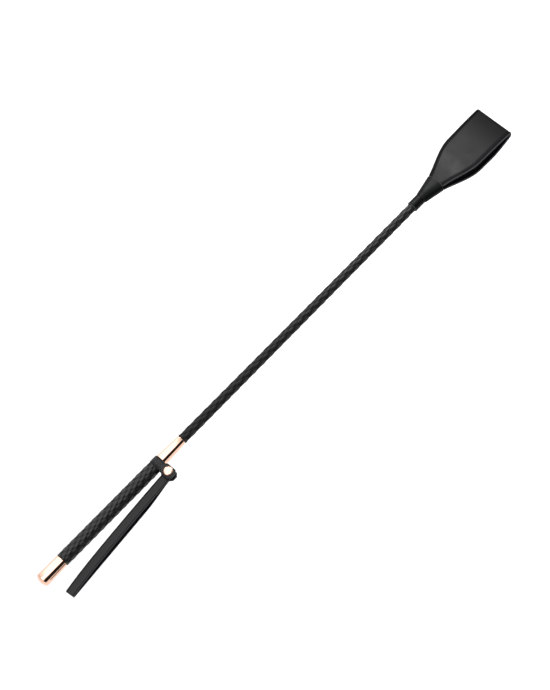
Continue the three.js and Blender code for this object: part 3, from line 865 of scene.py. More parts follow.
@dataclass(frozen=True)
class LaceBraid:
    """A round braid of flat lace: equal numbers of laces wind each way, over one and under one."""

    laces_each_way: int
    crossing_mm: float
    lace_rise: float = 0.5
    lace_crown: float = 0.4
    lace_squareness: float = 3.2
    worn_share: float = 0.9

    def surface(self, angle: np.ndarray, along: np.ndarray) -> tuple[np.ndarray, np.ndarray]:
        """The height of the braid under its outermost points.

        Args:
            angle: angles round the shaft, in radians.
            along: distances along the shaft, in mm.

        Returns:
            Depths below the crowns, in mm, and how exposed each point is, from 0 to 1.
        """
        around = self.laces_each_way * angle / TURN
        right = around - along / self.crossing_mm
        left = around + along / self.crossing_mm
        over = np.where((np.floor(right) + np.floor(left)) % 2 == 0, 1.0, -1.0)
        in_right, in_left = right - np.floor(right), left - np.floor(left)
        right_rise = over * np.sin(np.pi * in_left) * self.lace_rise
        left_rise = -over * np.sin(np.pi * in_right) * self.lace_rise
        right_height = right_rise + self._section(in_right)
        left_height = left_rise + self._section(in_left)
        height = np.maximum(right_height, left_height)
        top = self.lace_rise + self.lace_crown
        exposed = smooth_share(height, top - self.worn_share * top, top)
        return top - height, exposed

    def _section(self, across: np.ndarray) -> np.ndarray:
        """The height across one lace, whose long edges are rounded down."""
        return self.lace_crown * (1 - np.abs(2 * across - 1) ** self.lace_squareness)


@dataclass
class BraidedTube:
    """A stretch of braid round a straight tapering core."""

    layout: CropLayout
    braid: LaceBraid
    start: float
    end: float
    start_radius: float
    end_radius: float
    tuck_in_start: float = 0.0
    tuck_in_end: float = 0.0
    tuck_mm: float = 1.2
    crown_lift: float = 0.25
    columns: int = 112
    step_mm: float = 0.42

    def piece(self, name: str, first: float, last: float) -> bpy.types.Object:
        """Builds the stretch between two places along the axis.

        Args:
            name: the piece's name.
            first: where it starts, in metres.
            last: where it ends, in metres.

        Returns:
            The stretch of braid.
        """
        rows = max(3, int(round((last - first) / MM / self.step_mm)) + 1)
        x = np.linspace(first, last, rows)
        along = (x - self.start) / MM
        length = (self.end - self.start) / MM
        radius = self.start_radius + (self.end_radius - self.start_radius) * along / length
        radius = radius - self.tuck_in_start * (1 - smooth_share(along, 0, self.tuck_mm))
        radius = radius - self.tuck_in_end * smooth_share(along, length - self.tuck_mm, length)
        depth, exposed = self.braid.surface(round_angles(self.columns)[None, :], along[:, None])
        grid = self.layout.around(x, radius[:, None] + self.crown_lift - depth)
        uv = unrolled(along * MM, self.columns, TURN * self.start_radius * MM)
        return skin(name, grid, uv, {"rub": exposed}, sharp_angle=75)


# ---------------------------------------------------------------- sub-assemblies


@dataclass
class Whippings:
    """The tight windings of waxed thread that hold the ends of the braids and the popper."""

    layout: CropLayout
    finishes: Finishes
    pitch_mm: float = 0.42
    end_fall: float = 0.25
    end_length: float = 0.4
    rows_per_turn: int = 6
    columns: int = 40

    def build(self) -> None:
        """Builds one winding for each packed ring."""
        for node, body, name in (
            ("grip_binding_butt", "handle", "grip_thread_at_cap"),
            ("grip_binding_ferrule", "handle", "grip_thread_at_ferrule"),
            ("shaft_binding_ferrule", "handle", "shaft_thread_at_ferrule"),
            ("shaft_binding_tip", "neck", "shaft_thread_at_sleeve"),
            ("popper_binding", "neck", "popper_thread"),
        ):
            dressed(self._winding(name, node), body, Slot.THREAD, self.finishes, node)

    def _winding(self, name: str, node: str) -> bpy.types.Object:
        """Builds the outer surface of a winding, one ridge to each turn of thread.

        Args:
            name: the piece's name.
            node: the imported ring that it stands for.

        Returns:
            The winding.
        """
        first, last = self.layout.span(node)
        outer = self.layout.radius(node)
        length = (last - first) / MM
        rows = int(length / self.pitch_mm * self.rows_per_turn)
        along = np.linspace(0, length, rows)
        phase = np.pi * (along[:, None] / self.pitch_mm - round_angles(self.columns)[None, :] / TURN)
        ridge = self.pitch_mm / 2 * np.abs(np.sin(phase))
        near_end = 1 - np.minimum(1, np.minimum(along, length - along) / self.end_length)
        reach = outer - self.pitch_mm / 2 + ridge - self.end_fall * near_end[:, None]
        grid = self.layout.around(first + along * MM, reach)
        return skin(name, grid, unrolled(along * MM, self.columns, TURN * outer * MM), sharp_angle=80)


@dataclass
class Handle:
    """The butt cap, the braided grip and the ferrule."""

    layout: CropLayout
    finishes: Finishes
    cap_dome: float = 4.0
    cap_wall: float = 0.9
    cap_mouth_radius: float = 6.75
    mouth_roll: float = 0.4
    ferrule_top_radius: float = 5.05
    ferrule_wall: float = 0.75
    grip_braid: LaceBraid = LaceBraid(8, 10.0)

    def build(self) -> None:
        """Builds all three."""
        self._cap()
        self._grip()
        self._ferrule()

    def _cap(self) -> None:
        """Builds the domed cap, with a rolled mouth."""
        first, last = self.layout.span("butt_cap")
        length = (last - first) / MM
        radius = self.layout.radius("butt_cap")
        dome = bow((1, 0), 1.0, 180, 90, 28) * np.array([self.cap_dome, radius])
        dome[0, 1] = AXIS_GAP
        mouth = self.cap_mouth_radius
        rest = rounded(
            [
                (self.cap_dome, radius, 0),
                (length / 2, (radius + mouth) / 2, 0),
                (length - 0.02, mouth, self.mouth_roll),
                (length - 0.02, mouth - self.cap_wall, self.mouth_roll),
                (self.cap_dome + 1, radius - self.cap_wall - 0.1, 1.0),
                (self.cap_dome, AXIS_GAP, 0),
            ]
        )
        outline = np.concatenate([dome[:-1], rest])
        piece = turned("butt_cap_polished", outline, self.layout.on_axis(first), Turning.ALONG_SHAFT, 128)
        dressed(piece, "handle", Slot.ROSE_GOLD, self.finishes, "butt_cap")

    def _grip(self) -> None:
        """Builds the braid between the cap and the keeper."""
        start = self.layout.span("butt_cap")[1] + PIECE_GAP * MM
        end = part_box("grip_binding_ferrule")[0].x - 2 * PIECE_GAP * MM
        radius = self.layout.radius("grip_cover")
        tube = BraidedTube(
            self.layout, self.grip_braid, start, end, radius, radius,
            tuck_in_start=0.9, tuck_in_end=0.7, columns=144, step_mm=0.4,
        )
        dressed(tube.piece("grip_braid", start, end), "handle", Slot.GRIP_BRAID, self.finishes, "grip_cover")

    def _ferrule(self) -> None:
        """Builds the tapering ferrule, with its two mouths rolled in."""
        first, last = self.layout.span("ferrule")
        length = (last - first) / MM
        base, top = self.layout.radius("ferrule"), self.ferrule_top_radius
        outline = rounded(
            [
                (0.6, base - self.ferrule_wall - 0.5, 0),
                (0, base - self.ferrule_wall, 0.2),
                (0, base, 0.35),
                (length / 2, (base + top) / 2, 0),
                (length, top, 0.35),
                (length, top - self.ferrule_wall, 0.3),
                (length - 2, top - self.ferrule_wall, 0),
            ]
        )
        piece = turned("ferrule_polished", outline, self.layout.on_axis(first), Turning.ALONG_SHAFT, 128)
        dressed(piece, "handle", Slot.ROSE_GOLD, self.finishes, "ferrule")


@dataclass
class Shaft:
    """The braided shaft, cut halfway between its flex stations, and the solids inside it."""

    layout: CropLayout
    finishes: Finishes
    braid: LaceBraid = LaceBraid(6, 12.3)
    tip_radius: float = 4.45
    into_sleeve: float = 3.0
    bend_reach: float = 22.0

    def build(self) -> None:
        """Builds the stretches of braid, cut halfway between the flex stations so that each has its station
        in its middle.
        """
        stations = [j for j in frame["joints"] if "_bend_" in j["name"]]
        at = [j["pos_m"][0] for j in stations]
        start = self.layout.span("ferrule")[1] + PIECE_GAP * MM
        end = self.layout.span("sleeve")[0] + self.into_sleeve * MM
        cuts = [start] + [(a + b) / 2 for a, b in zip(at, at[1:])] + [end]
        radius = self.layout.radius("cover_1")
        tube = BraidedTube(
            self.layout, self.braid, start, end, radius, self.tip_radius, tuck_in_start=0.8, tuck_mm=1.0
        )
        for i, station in enumerate(stations):
            piece = tube.piece(f"shaft_braid_{i + 1}", cuts[i], cuts[i + 1])
            x = station["pos_m"][0]
            reach = min(self.bend_reach * MM, x - cuts[i], cuts[i + 1] - self.into_sleeve * MM - x)
            nodes = [f"cover_{i + 1}"] + (["cover_7"] if i == len(stations) - 1 else [])
            ends = (self.layout.on_axis(x - reach), self.layout.on_axis(x + reach))
            bodies = (station["parent"], station["child"])
            bent(piece, bodies, *ends, Slot.SHAFT_BRAID, self.finishes, *nodes)
        for name, node in frame["nodes"].items():
            if name.startswith("rod_"):
                self.finishes.dress(node, Slot.GLASS_FIBRE)
        self.finishes.dress(frame["nodes"]["handle_core"], Slot.CORE_PLASTIC)


@dataclass
class Keeper:
    """The strip of leather round the handle with its two leaves, and the press stud through them."""

    layout: CropLayout
    finishes: Finishes
    leather: float = 1.2
    band_half_width: float = 4.2
    leaf_corner: float = 3.0
    seam_share: float = 0.72
    soft_length: float = 1.6
    pitch: float = 0.4
    leaf_pitch: float = 0.35
    sheet_brass: float = 0.6
    shank_radius: float = 1.0
    neck_radius: float = 1.3
    cap_height: float = 1.7
    socket_wall: float = 0.9
    hinge_reach: float = 0.9
    edge: StripEdge = StripEdge(0.4, 1.5, 0.12, 0.3, 0.05)
    place: StripPlace = field(init=False)
    leaf_end: float = field(init=False)
    leaf_root: float = field(init=False)
    leaf_half_width: float = field(init=False)
    upper: float = field(init=False)
    wrap_radius: float = field(init=False)

    def build(self) -> None:
        """Builds the wrap, the upper leaf and the four pieces of the press stud."""
        low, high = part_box("keeper_leaf")
        band_low, band_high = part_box("keeper_band")
        along_shaft, sideways, up = np.eye(3)
        centre = np.array(self.layout.on_axis((band_low.x + band_high.x) / 2))
        self.place = StripPlace(centre, sideways, up, along_shaft)
        self.leaf_end = (low.y - self.layout.axis_y) / MM
        self.leaf_root = (high.y - self.layout.axis_y) / MM
        self.leaf_half_width = (high.x - low.x) / 2 / MM
        self.upper = ((low.z + high.z) / 2 - self.layout.axis_z) / MM
        self.wrap_radius = (band_high.z - self.layout.axis_z) / MM - self.leather / 2
        self._leaf(self._wrap())
        self._press_stud()

    def _half_width(self, across: np.ndarray) -> np.ndarray:
        """Half the strip's width, which grows from the wrap to the leaves and is clipped at their corners.

        Args:
            across: distances from the axis, in mm.

        Returns:
            Half the width at each, in mm.
        """
        widened = smooth_share(-across, self.wrap_radius + 0.3, -self.leaf_root + 0.4)
        clipped = np.clip((self.leaf_end + self.leaf_corner - across) / self.leaf_corner, 0, 1)
        growth = (self.leaf_half_width - self.band_half_width) * widened
        return self.band_half_width + growth - self.leaf_corner * clipped

    def _touch_angle(self, height: float) -> float:
        """Finds where the straight from a leaf's root touches the round of the wrap.

        Args:
            height: the root's height above the axis, in mm.

        Returns:
            The angle round the axis, in degrees.
        """
        distance = math.hypot(self.leaf_root, height)
        turn = math.acos(self.wrap_radius / distance)
        return math.degrees(math.atan2(height, self.leaf_root) - math.copysign(turn, height))

    def _wrap(self) -> np.ndarray:
        """Builds the lower leaf and the wrap round the handle, as one strip.

        Returns:
            Where the wrap ends and the upper leaf starts, as (across, up) in mm.
        """
        lower = -self.upper
        start, stop = self._touch_angle(lower), self._touch_angle(self.upper)
        round_part = bow((0, 0), self.wrap_radius, start, stop, 72)
        seam = round_part[-1] + (np.array([self.leaf_root, self.upper]) - round_part[-1]) * self.seam_share
        corner = self.leaf_end + self.leaf_corner
        path = np.array([(self.leaf_end, lower), (corner, lower), (self.leaf_root, lower)])
        path = evenly(np.concatenate([path, round_part, seam[None]]), self.pitch)
        piece = self._strip("keeper_wrap", path)
        dressed(piece, "handle", Slot.STRAP_LEATHER, self.finishes, "keeper_band")
        return seam

    def _strip(self, name: str, path: np.ndarray) -> bpy.types.Object:
        """Builds a strip of the keeper's leather along a path in mm."""
        thickness = np.full(len(path), self.leather)
        return leather_strip(name, path, self._half_width(path[:, 0]), thickness, self.place, self.edge)

    def _leaf(self, seam: np.ndarray) -> None:
        """Builds the upper leaf, which bends where it leaves the wrap.

        Args:
            seam: where the wrap ends, as (across, up) in mm.
        """
        over, rise = np.array([self.leaf_root, self.upper]) - seam
        start = seam + np.array([over, rise]) * 0.03
        soft = sweep(start, rise / over, 0, (self.leaf_root - self.soft_length, self.upper), 12)
        path = evenly(np.concatenate([soft, [(self.leaf_end, self.upper)]]), self.leaf_pitch)[::-1]
        piece = self._strip("keeper_leaf_top", path)
        hinge = Vector(self.layout.joint("snap_open")["pos_m"])
        reach = Vector((0, self.hinge_reach * MM, 0))
        bodies = ("handle", "snap_leaf")
        bent(piece, bodies, hinge + reach, hinge - reach, Slot.STRAP_LEATHER, self.finishes, "keeper_leaf")

    def _press_stud(self) -> None:
        """Builds the cap, the socket, the stud and the post, all turned about the press stud's axis."""
        for name, node, body, slot in (
            ("snap_cap_polished", "snap_cap", "snap_leaf", Slot.ROSE_GOLD),
            ("snap_socket_stamped", "snap_socket", "snap_leaf", Slot.SNAP_BRASS),
            ("snap_stud_stamped", "snap_stud", "handle", Slot.SNAP_BRASS),
            ("snap_post_stamped", "snap_post", "handle", Slot.SNAP_BRASS),
        ):
            low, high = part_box(node)
            centre = Vector(((low.x + high.x) / 2, (low.y + high.y) / 2, low.z))
            height, radius = (high.z - low.z) / MM, (high.x - low.x) / 2 / MM
            outline = rounded(self._stud_outline(node, height, radius), 6)
            piece = turned(name, outline, centre, Turning.UPRIGHT, 64)
            dressed(piece, body, slot, self.finishes, node)

    def _stud_outline(self, node: str, height: float, radius: float) -> list[tuple[float, float, float]]:
        """The outline of one piece of the press stud.

        Args:
            node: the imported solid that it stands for.
            height: its height in mm.
            radius: its outer radius in mm.

        Returns:
            (height, radius, corner radius) points in mm.
        """
        shank, neck, sheet = self.shank_radius, self.neck_radius, self.sheet_brass
        if node == "snap_cap":
            rim = height - self.cap_height
            return [
                (0, AXIS_GAP, 0), (0, shank, 0.1), (rim, shank, 0.1), (rim, radius, 0.3),
                (rim + 0.75, radius, 0.4), (height - 0.2, radius * 0.88, 0.6),
                (height, radius * 0.74, 0.7), (height, AXIS_GAP, 0),
            ]
        if node == "snap_socket":
            inside = radius - self.socket_wall
            return [
                (height, neck, 0), (height, radius, 0.3), (0, radius, 0.3), (0, inside, 0.2),
                (height - 0.35, inside, 0.2), (height - 0.3, neck, 0),
            ]
        if node == "snap_stud":
            return [
                (0.4, neck, 0), (0, 1.4, 0), (0, radius, 0.2), (sheet, radius, 0.25), (sheet, 1.5, 0.2),
                (height - 0.3, 1.6, 0.5), (height, 1.4, 0.5), (height, AXIS_GAP, 0),
            ]
        return [
            (0, AXIS_GAP, 0), (0, radius, 0.25), (sheet, radius, 0.25), (sheet, shank, 0.1),
            (height, shank, 0.1), (height, AXIS_GAP, 0),
        ]


@dataclass
class WristStrap:
    """The wrist strap: one strip of leather whose two ends lie on each other round the press stud."""

    layout: CropLayout
    finishes: Finishes
    leather: float = 1.2
    width: float = 10.0
    end_corner: float = 2.0
    end_back: float = 5.5
    reach: float = 152.0
    fold_radius: float = 1.3
    fold_turn: float = 170.0
    crown: float = 0.6
    crown_reach: float = 58.0
    root_length: float = 9.4
    upper_slope: float = 0.05
    lower_slope: float = 0.155
    slope_length: float = 32.0
    root_flat: float = 3.0
    pitch: float = 0.9
    hinge_reach: float = 4.0
    hinge_back: float = 0.4
    edge: StripEdge = StripEdge(0.4, 1.7, 0.14, 0.35, 0.04)

    def build(self) -> None:
        """Builds the whole strap as one piece, across the hinge at its root."""
        turn_pin = self.layout.joint("strap_turn")["pos_m"]
        lift = self.layout.joint("strap_lift")
        across = np.array(lift["axis"], float)
        along = np.array([-across[1], across[0], 0.0])
        origin = np.array([turn_pin[0], turn_pin[1], self.layout.axis_z])
        place = StripPlace(origin, along, np.array([0, 0, 1.0]), across)
        path = self._path()
        piece = leather_strip(
            "wrist_strap", path, self._half_width(path), np.full(len(path), self.leather), place, self.edge
        )
        hinge = Vector(lift["pos_m"])
        step = Vector(along) * self.hinge_reach * MM
        nodes = ("strap_end_top", "strap_end_bottom", "wrist_loop")
        bodies = ("strap_root", "strap_loop")
        start, end = hinge - step * self.hinge_back, hinge + step
        bent(piece, bodies, start, end, Slot.STRAP_LEATHER, self.finishes, *nodes)

    def _path(self) -> np.ndarray:
        """Draws the middle of the leather from the upper end, round the fold, to the lower end.

        Returns:
            (along, up) points in mm from the press stud's axis.
        """
        upper, lower = (
            (sum(corner.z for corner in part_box(node)) / 2 - self.layout.axis_z) / MM
            for node in ("strap_end_top", "strap_end_bottom")
        )
        floor = (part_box("wrist_loop")[0].z - self.layout.axis_z) / MM + self.leather / 2
        crown = (self.crown_reach, self.crown)
        centre = (self.reach - self.leather / 2 - self.fold_radius, floor + self.fold_radius)
        fold = bow(centre, self.fold_radius, self.fold_turn - 90, -90, 16)
        slope = math.tan(math.radians(180 - self.fold_turn))
        root = self.root_length
        parts = [
            np.array([(-self.end_back, upper), (root - self.root_flat, upper)]),
            sweep((root, upper), self.upper_slope, 0, crown, 24),
            sweep(crown, 0, -slope, tuple(fold[0]), 32),
            fold,
            sweep((root + self.slope_length, floor), 0, -self.lower_slope, (root, lower), 24),
            np.array([(root - self.root_flat, lower), (-self.end_back, lower)]),
        ]
        return evenly(np.concatenate(parts), self.pitch)

    def _half_width(self, path: np.ndarray) -> np.ndarray:
        """Half the strap's width in mm at each point of its path, less at its clipped ends."""
        clipped = np.clip((self.end_corner - self.end_back - path[:, 0]) / self.end_corner, 0, 1)
        return self.width / 2 - self.end_corner * clipped


@dataclass
class Sleeve:
    """The leather sleeve glued over the neck: a band, then a flare with a lapped seam down one side."""

    layout: CropLayout
    finishes: Finishes
    straight: float = 13.0
    base_radius: float = 5.65
    mouth_half_width: float = 10.0
    mouth_half_height: float = 6.45
    wall: float = 0.9
    flare_power: float = 1.1
    lift_share: float = 0.4
    squareness: float = 0.6
    tongue: float = 2.2
    seam_degrees: float = 186.0
    seam_step: float = 0.85
    lap_degrees: float = 70.0
    band_step: float = 0.4
    foot_roll: float = 0.3
    foot_roll_at: float = 0.7
    foot_roll_width: float = 0.45
    press: float = 0.15
    press_before: float = 0.5
    press_width: float = 0.35
    edge_blend: float = 0.15
    mouth_swell: float = 0.3
    mouth_wear: float = 0.7
    seam_wear: float = 0.8
    flare_wear: float = 0.15
    seam_edge_degrees: float = 3.0
    columns: int = 160
    rows: int = 90
    inner_rows: int = 24

    def build(self) -> None:
        """Builds the sleeve as an outer and an inner skin joined at both mouths."""
        first, last = self.layout.span("sleeve")
        length = (last - first) / MM
        angle = round_angles(self.columns)
        along = np.linspace(0, length, self.rows)
        outer = self._rings(along, angle, length, 0.0)
        inner = self._rings(np.linspace(length, 0, self.inner_rows), angle, length, self.wall)
        edge_swell = np.array([self.mouth_swell, 0, 0])
        lip = (outer[-1:] * 0.5 + inner[:1] * 0.5) + edge_swell
        foot = (outer[:1] * 0.5 + inner[-1:] * 0.5) - edge_swell
        grid = np.concatenate([foot, outer, lip, inner, foot]) * MM + np.array(self.layout.on_axis(first))
        uv = unrolled(walked(grid[:, 0]), self.columns, TURN * self.base_radius * MM)
        cut = np.zeros(grid.shape[:2])
        cut[0] = cut[-1] = cut[self.rows + 1] = 1
        cut[1] = cut[self.rows] = self.mouth_wear
        edge_of_flare = (np.abs(along - self.straight) < 2 * self.edge_blend)[:, None]
        at_seam = (self._past_seam(angle) > 360 - self.seam_edge_degrees)[None, :]
        seam = at_seam & (along > self.straight)[:, None]
        worn = self.seam_wear * seam + self.flare_wear * edge_of_flare
        cut[1 : self.rows + 1] = np.maximum(cut[1 : self.rows + 1], worn)
        piece = skin("sleeve_lapped", grid, uv, {"cut_edge": cut}, sharp_angle=70, closed_ends=False)
        dressed(piece, "neck", Slot.SLEEVE_LEATHER, self.finishes, "sleeve")

    def _past_seam(self, angle: np.ndarray) -> np.ndarray:
        """Degrees past the seam, from 0 to 360."""
        return (np.degrees(angle) - self.seam_degrees) % 360

    def _rings(self, along: np.ndarray, angle: np.ndarray, length: float, inset: float) -> np.ndarray:
        """Rings of the sleeve, as points in mm from the middle of its base.

        Args:
            along: how far each ring is from the base.
            angle: the angles of its points.
            length: the whole length of the sleeve.
            inset: how far the skin lies inside the outer one.

        Returns:
            The points, as rings x points x 3.
        """
        share = np.clip((along - self.straight) / (length - self.straight), 0, 1)[:, None]
        half_width = self.base_radius + (self.mouth_half_width - self.base_radius) * share**self.flare_power
        lifted = smooth_share(share, 0, self.lift_share)
        half_height = self.base_radius + (self.mouth_half_height - self.base_radius) * lifted
        power = 2 / (2 + self.squareness * share)
        cosine, sine = np.cos(angle)[None], np.sin(angle)[None]
        across = np.sign(cosine) * np.abs(cosine) ** power
        upward = np.sign(sine) * np.abs(sine) ** power
        proud = self._relief(along, angle) if inset == 0 else -inset
        y = (half_width + proud) * across
        z = (half_height + proud) * upward
        tongue = self.tongue * share**3 * np.abs(sine) ** 1.5
        x = np.repeat(along[:, None], len(angle), axis=1) + tongue
        return np.stack([x, y, z], axis=-1)

    def _relief(self, along: np.ndarray, angle: np.ndarray) -> np.ndarray:
        """How proud of its plain shape the outer skin stands: the rolled foot, the flare's edge and its seam.

        Args:
            along: how far each ring is from the base.
            angle: the angles of its points.

        Returns:
            The relief in mm, as rings x points.
        """
        roll = self.foot_roll * np.exp(-(((along - self.foot_roll_at) / self.foot_roll_width) ** 2))
        over_band = smooth_share(along, self.straight - self.edge_blend, self.straight + self.edge_blend)
        groove = along - self.straight + self.press_before
        pressed = self.press * np.exp(-((groove / self.press_width) ** 2))
        rise = smooth_share(self._past_seam(angle), 360 - self.lap_degrees, 360)
        level = roll - pressed + self.band_step * over_band
        return level[:, None] + self.seam_step * rise[None, :] * over_band[:, None]


@dataclass
class Popper:
    """The popper: one wide strip of leather folded at the tip, its roots bound to the rod in the sleeve."""

    layout: CropLayout
    finishes: Finishes
    leather: float = 2.4
    tail_leather: float = 1.6
    width: float = 44.0
    tip_flare: float = 1.6
    root_width: float = 18.8
    shoulder: float = 44.0
    length: float = 90.0
    corner: float = 3.2
    fold_radius: float = 2.2
    fold_lean: float = 6.0
    fold_turn: float = 160.0
    upper_height: float = 6.1
    crown_reach: float = 34.0
    fold_height: float = 2.8
    root_height: float = 3.4
    root_slope: float = 0.15
    rest_start: float = 36.0
    rest_length: float = 22.0
    root_gap: float = 2.3
    bend_reach: float = 14.0
    tail_height: float = 3.3
    tail_length: float = 18.0
    tail_neck: float = 8.0
    tail_neck_width: float = 4.8
    tail_mouth_width: float = 12.4
    tail_flat_to: float = -1.0
    pitch: float = 0.8
    edge: StripEdge = StripEdge(0.75, 3.4, 0.34, 0.5, 0.1)

    def build(self) -> None:
        """Builds the popper with its tails as one piece, across the hinge where it leaves the sleeve."""
        mouth = self.layout.span("sleeve")[1]
        along_shaft, sideways, up = np.eye(3)
        place = StripPlace(np.array(self.layout.on_axis(mouth)), along_shaft, up, sideways)
        path = self._path()
        half_width = self._half_width(path[:, 0])
        inside = 1 - smooth_share(path[:, 0], 0, self.root_gap)
        thickness = self.leather + (self.tail_leather - self.leather) * inside
        piece = leather_strip(
            "popper_leather", path, half_width, thickness, place, self.edge, centre_steps=26
        )
        hinge = Vector(self.layout.joint("popper_flap")["pos_m"])
        along = Vector((1, 0, 0)) * self.bend_reach * MM
        nodes = ("popper", "popper_tail_top", "popper_tail_bottom")
        bodies = ("neck", "popper")
        start = hinge - Vector((self.root_gap * MM, 0, 0))
        bent(piece, bodies, start, hinge + along, Slot.POPPER_LEATHER, self.finishes, *nodes)

    def _path(self) -> np.ndarray:
        """Draws the middle of the leather from the upper tail, round the tip, to the lower tail.

        Returns:
            (along, up) points in mm from the middle of the sleeve's mouth.
        """
        floor = (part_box("popper")[0].z - self.layout.axis_z) / MM + self.leather / 2
        crown = (self.crown_reach, self.upper_height)
        centre = (self.length - self.leather / 2 - self.fold_radius, self.fold_height)
        fold = bow(centre, self.fold_radius, 90 - self.fold_lean, 90 - self.fold_turn, 24)
        dip = -math.tan(math.radians(self.fold_lean))
        slope = math.tan(math.radians(180 - self.fold_turn))
        rest_end = (self.rest_start + self.rest_length, floor)
        root = self.root_gap
        parts = [
            np.array([(-self.tail_length, self.tail_height), (self.tail_flat_to, self.tail_height)]),
            sweep((root, self.root_height), self.root_slope, 0, crown, 20),
            sweep(crown, 0, dip, tuple(fold[0]), 24),
            fold,
            sweep(tuple(fold[-1]), slope, 0, rest_end, 20),
            sweep((self.rest_start, floor), 0, -self.root_slope, (root, -self.root_height), 20),
            np.array([(self.tail_flat_to, -self.tail_height), (-self.tail_length, -self.tail_height)]),
        ]
        return evenly(np.concatenate(parts), self.pitch)

    def _half_width(self, along: np.ndarray) -> np.ndarray:
        """Half the strip's width: narrow in the sleeve, swelling to the shoulder and rounded at the tip.

        Args:
            along: distances from the sleeve's mouth, in mm.

        Returns:
            Half the width at each, in mm.
        """
        share = np.clip(along / self.shoulder, 0, 1)
        swell = (np.sin(share * math.pi / 2) + smooth_share(share, 0, 1)) / 2
        flare = self.tip_flare * np.clip((along - self.shoulder) / (self.length - self.shoulder), 0, 1)
        into_corner = np.clip((along - (self.length - self.corner)) / self.corner, 0, 1)
        rounding = self.corner * (1 - np.sqrt(1 - into_corner**2))
        full = self.root_width + (self.width - self.root_width) * swell + flare - 2 * rounding
        neck_end = -self.tail_length + self.tail_neck
        narrow = self.tail_neck_width + (self.tail_mouth_width - self.tail_neck_width) * np.clip(
            (along - neck_end) / -neck_end, 0, 1
        )
        inside = 1 - smooth_share(along, 0, self.root_gap)
        return (full + (narrow - full) * inside) / 2


# ---------------------------------------------------------------- studio


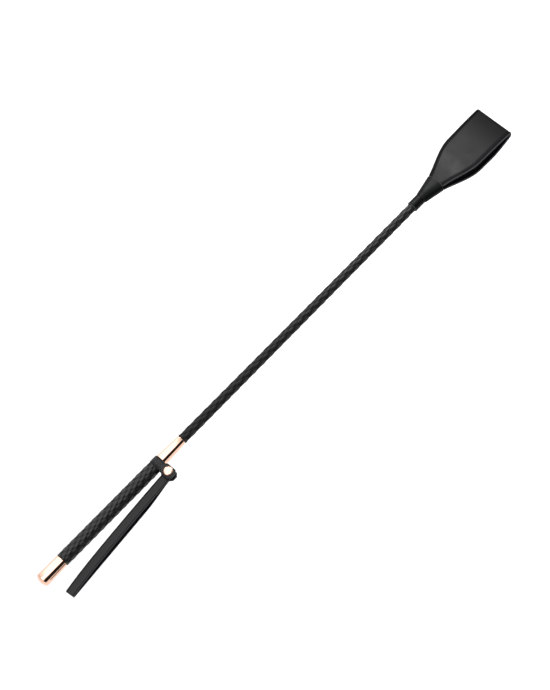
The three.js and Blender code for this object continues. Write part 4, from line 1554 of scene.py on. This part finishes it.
@dataclass
class Studio:
    """The floor, the lights and the camera."""

    finishes: Finishes
    aim_mm: tuple[float, float, float] = (2.97, 6.44, 6.2)
    distance: float = 3.0022
    lens: float = 159.75
    sensor: float = 36.0
    nearest: float = 0.05
    farthest: float = 50.0
    tip_away_degrees: float = 13.0
    lean_degrees: float = 25.7
    roll_degrees: float = 45.27
    floor_half: float = 6.0
    floor_drop: float = 0.2
    floor_cells: int = 12
    sky: float = 0.85
    strip: float = 2.1
    flag: float = 0.02
    far_wall: float = 0.7

    def camera(self) -> None:
        """Makes the camera: above the crop and a little to its -Y side, with the tip leaning away from it."""
        tip, lean, roll = map(math.radians, (self.tip_away_degrees, self.lean_degrees, self.roll_degrees))
        forward = Vector((math.sin(tip), math.cos(tip) * math.sin(lean), -math.cos(tip) * math.cos(lean)))
        shaft = Vector((1, 0, 0)) - forward * forward.x
        shaft.normalize()
        beside = shaft.cross(forward)
        right = shaft * math.cos(roll) - beside * math.sin(roll)
        up = right.cross(forward)
        data = bpy.data.cameras.new("studio_camera")
        data.lens, data.sensor_width = self.lens, self.sensor
        data.clip_start, data.clip_end = self.nearest, self.farthest
        camera = bpy.data.objects.new("studio_camera", data)
        place = Vector(self.aim_mm) * MM - forward * self.distance
        axes = Matrix((right, up, -forward)).transposed().to_4x4()
        camera.matrix_world = Matrix.Translation(place) @ axes
        bpy.context.scene.collection.objects.link(camera)
        bpy.context.scene.camera = camera

    def build(self) -> None:
        """Lays the floor and sets the lights."""
        self._floor()
        self._surroundings()
        box = self._light("popper_softbox", "AREA", (0.35, 0.22, 0.45), (0.28, 0.0, 0.0), 2.6)
        box.shape, box.size, box.size_y = "RECTANGLE", 0.14, 0.3
        sun = self._light("fill_sun", "SUN", (-0.4, -0.1, 0.9), (0.0, 0.0, 0.0), 1.3)
        sun.angle = math.radians(70)
        view = bpy.context.scene.view_settings
        view.view_transform, view.look = "Standard", "None"
        log.info("studio is lit")

    def _floor(self) -> None:
        """Lays the studio paper far enough below the crop for its end and its strap to swing down."""
        mesh = bpy.data.meshes.new("studio_floor")
        side = self.floor_cells + 1
        steps = np.linspace(-self.floor_half, self.floor_half, side)
        corners = [i * side + j for i in range(self.floor_cells) for j in range(self.floor_cells)]
        faces = [(corner, corner + side, corner + side + 1, corner + 1) for corner in corners]
        mesh.from_pydata([(x, y, -self.floor_drop) for x in steps for y in steps], [], faces)
        mesh.materials.append(self.finishes.paper)
        floor = bpy.data.objects.new("studio_floor", mesh)
        bpy.context.scene.collection.objects.link(floor)

    def _light(self, name: str, kind: str, at: tuple, toward: tuple, energy: float) -> bpy.types.Light:
        """Hangs a light.

        Args:
            name: its name.
            kind: Blender's name for the kind of light.
            at: where it hangs, in metres. Only the direction matters to a sun.
            toward: the point that it faces.
            energy: its power in watts, or a sun's irradiance in watts per square metre.

        Returns:
            The light's own data, for its size.
        """
        data = bpy.data.lights.new(name, kind)
        data.energy = energy
        light = bpy.data.objects.new(name, data)
        light.location = at
        light.rotation_mode = "QUATERNION"
        light.rotation_quaternion = (Vector(at) - Vector(toward)).to_track_quat("Z", "Y")
        bpy.context.scene.collection.objects.link(light)
        return data

    def _surroundings(self) -> None:
        """Sets the room: white all round, with a strip light overhead, a black flag and a dimmer far wall."""
        world = bpy.data.worlds.new("white_room")
        bpy.context.scene.world = world
        world.use_nodes = True
        tree = world.node_tree
        tree.nodes.clear()
        direction = add_node(tree, "ShaderNodeTexCoord").outputs["Generated"]
        split = add_node(tree, "ShaderNodeSeparateXYZ", links={0: direction})
        strip = self._patch(tree, split, (("X", 0.08, 0.16), ("X", 0.37, 0.29), ("Z", 0.1, 0.2)))
        flag = self._patch(tree, split, (("Z", -0.02, 0.02), ("Z", 0.82, 0.76), ("Y", -0.3, -0.5)))
        wall = self._patch(tree, split, (("Z", 0.16, 0.02), ("Y", 0.3, 0.8)))
        light = add_node(
            tree, "ShaderNodeMapRange", {"To Min": self.sky, "To Max": self.strip}, {"Value": strip}
        ).outputs[0]
        for patch, strength in ((flag, self.flag), (wall, self.far_wall)):
            light = add_node(
                tree, "ShaderNodeMapRange", {"To Max": strength}, {"Value": patch, "To Min": light}
            ).outputs[0]
        background = add_node(
            tree, "ShaderNodeBackground", {"Color": (1.0, 1.0, 1.0, 1.0)}, {"Strength": light}
        )
        add_node(tree, "ShaderNodeOutputWorld", links={"Surface": background.outputs[0]})

    def _patch(
        self, tree: bpy.types.NodeTree, split: bpy.types.Node, edges: tuple[tuple[str, float, float], ...]
    ) -> bpy.types.NodeSocket:
        """Marks out a patch of the room with soft edges.

        Args:
            tree: the world's node tree.
            split: the node that gives the direction's X, Y and Z.
            edges: (axis, where the patch is 0, where it is 1) for each edge.

        Returns:
            A socket that is 1 inside the patch and 0 outside it.
        """
        inside = None
        for axis, none, full in edges:
            edge = add_node(
                tree, "ShaderNodeMapRange", {"From Min": none, "From Max": full},
                {"Value": split.outputs[axis]}, interpolation_type="SMOOTHSTEP",
            ).outputs[0]
            if inside is None:
                inside = edge
            else:
                inside = add_node(
                    tree, "ShaderNodeMath", {}, {0: inside, 1: edge}, operation="MULTIPLY"
                ).outputs[0]
        return inside


def main() -> None:
    """Builds the crop, piece by piece, and its studio."""
    logging.basicConfig(level=logging.INFO, format="%(name)s: %(message)s")
    finishes = Finishes()
    studio = Studio(finishes)
    studio.camera()
    layout = CropLayout.measured()
    for assembly in (Handle, Whippings, Keeper, WristStrap, Shaft, Sleeve, Popper):
        assembly(layout, finishes).build()
    studio.build()


if __name__ == "__main__":
    main()
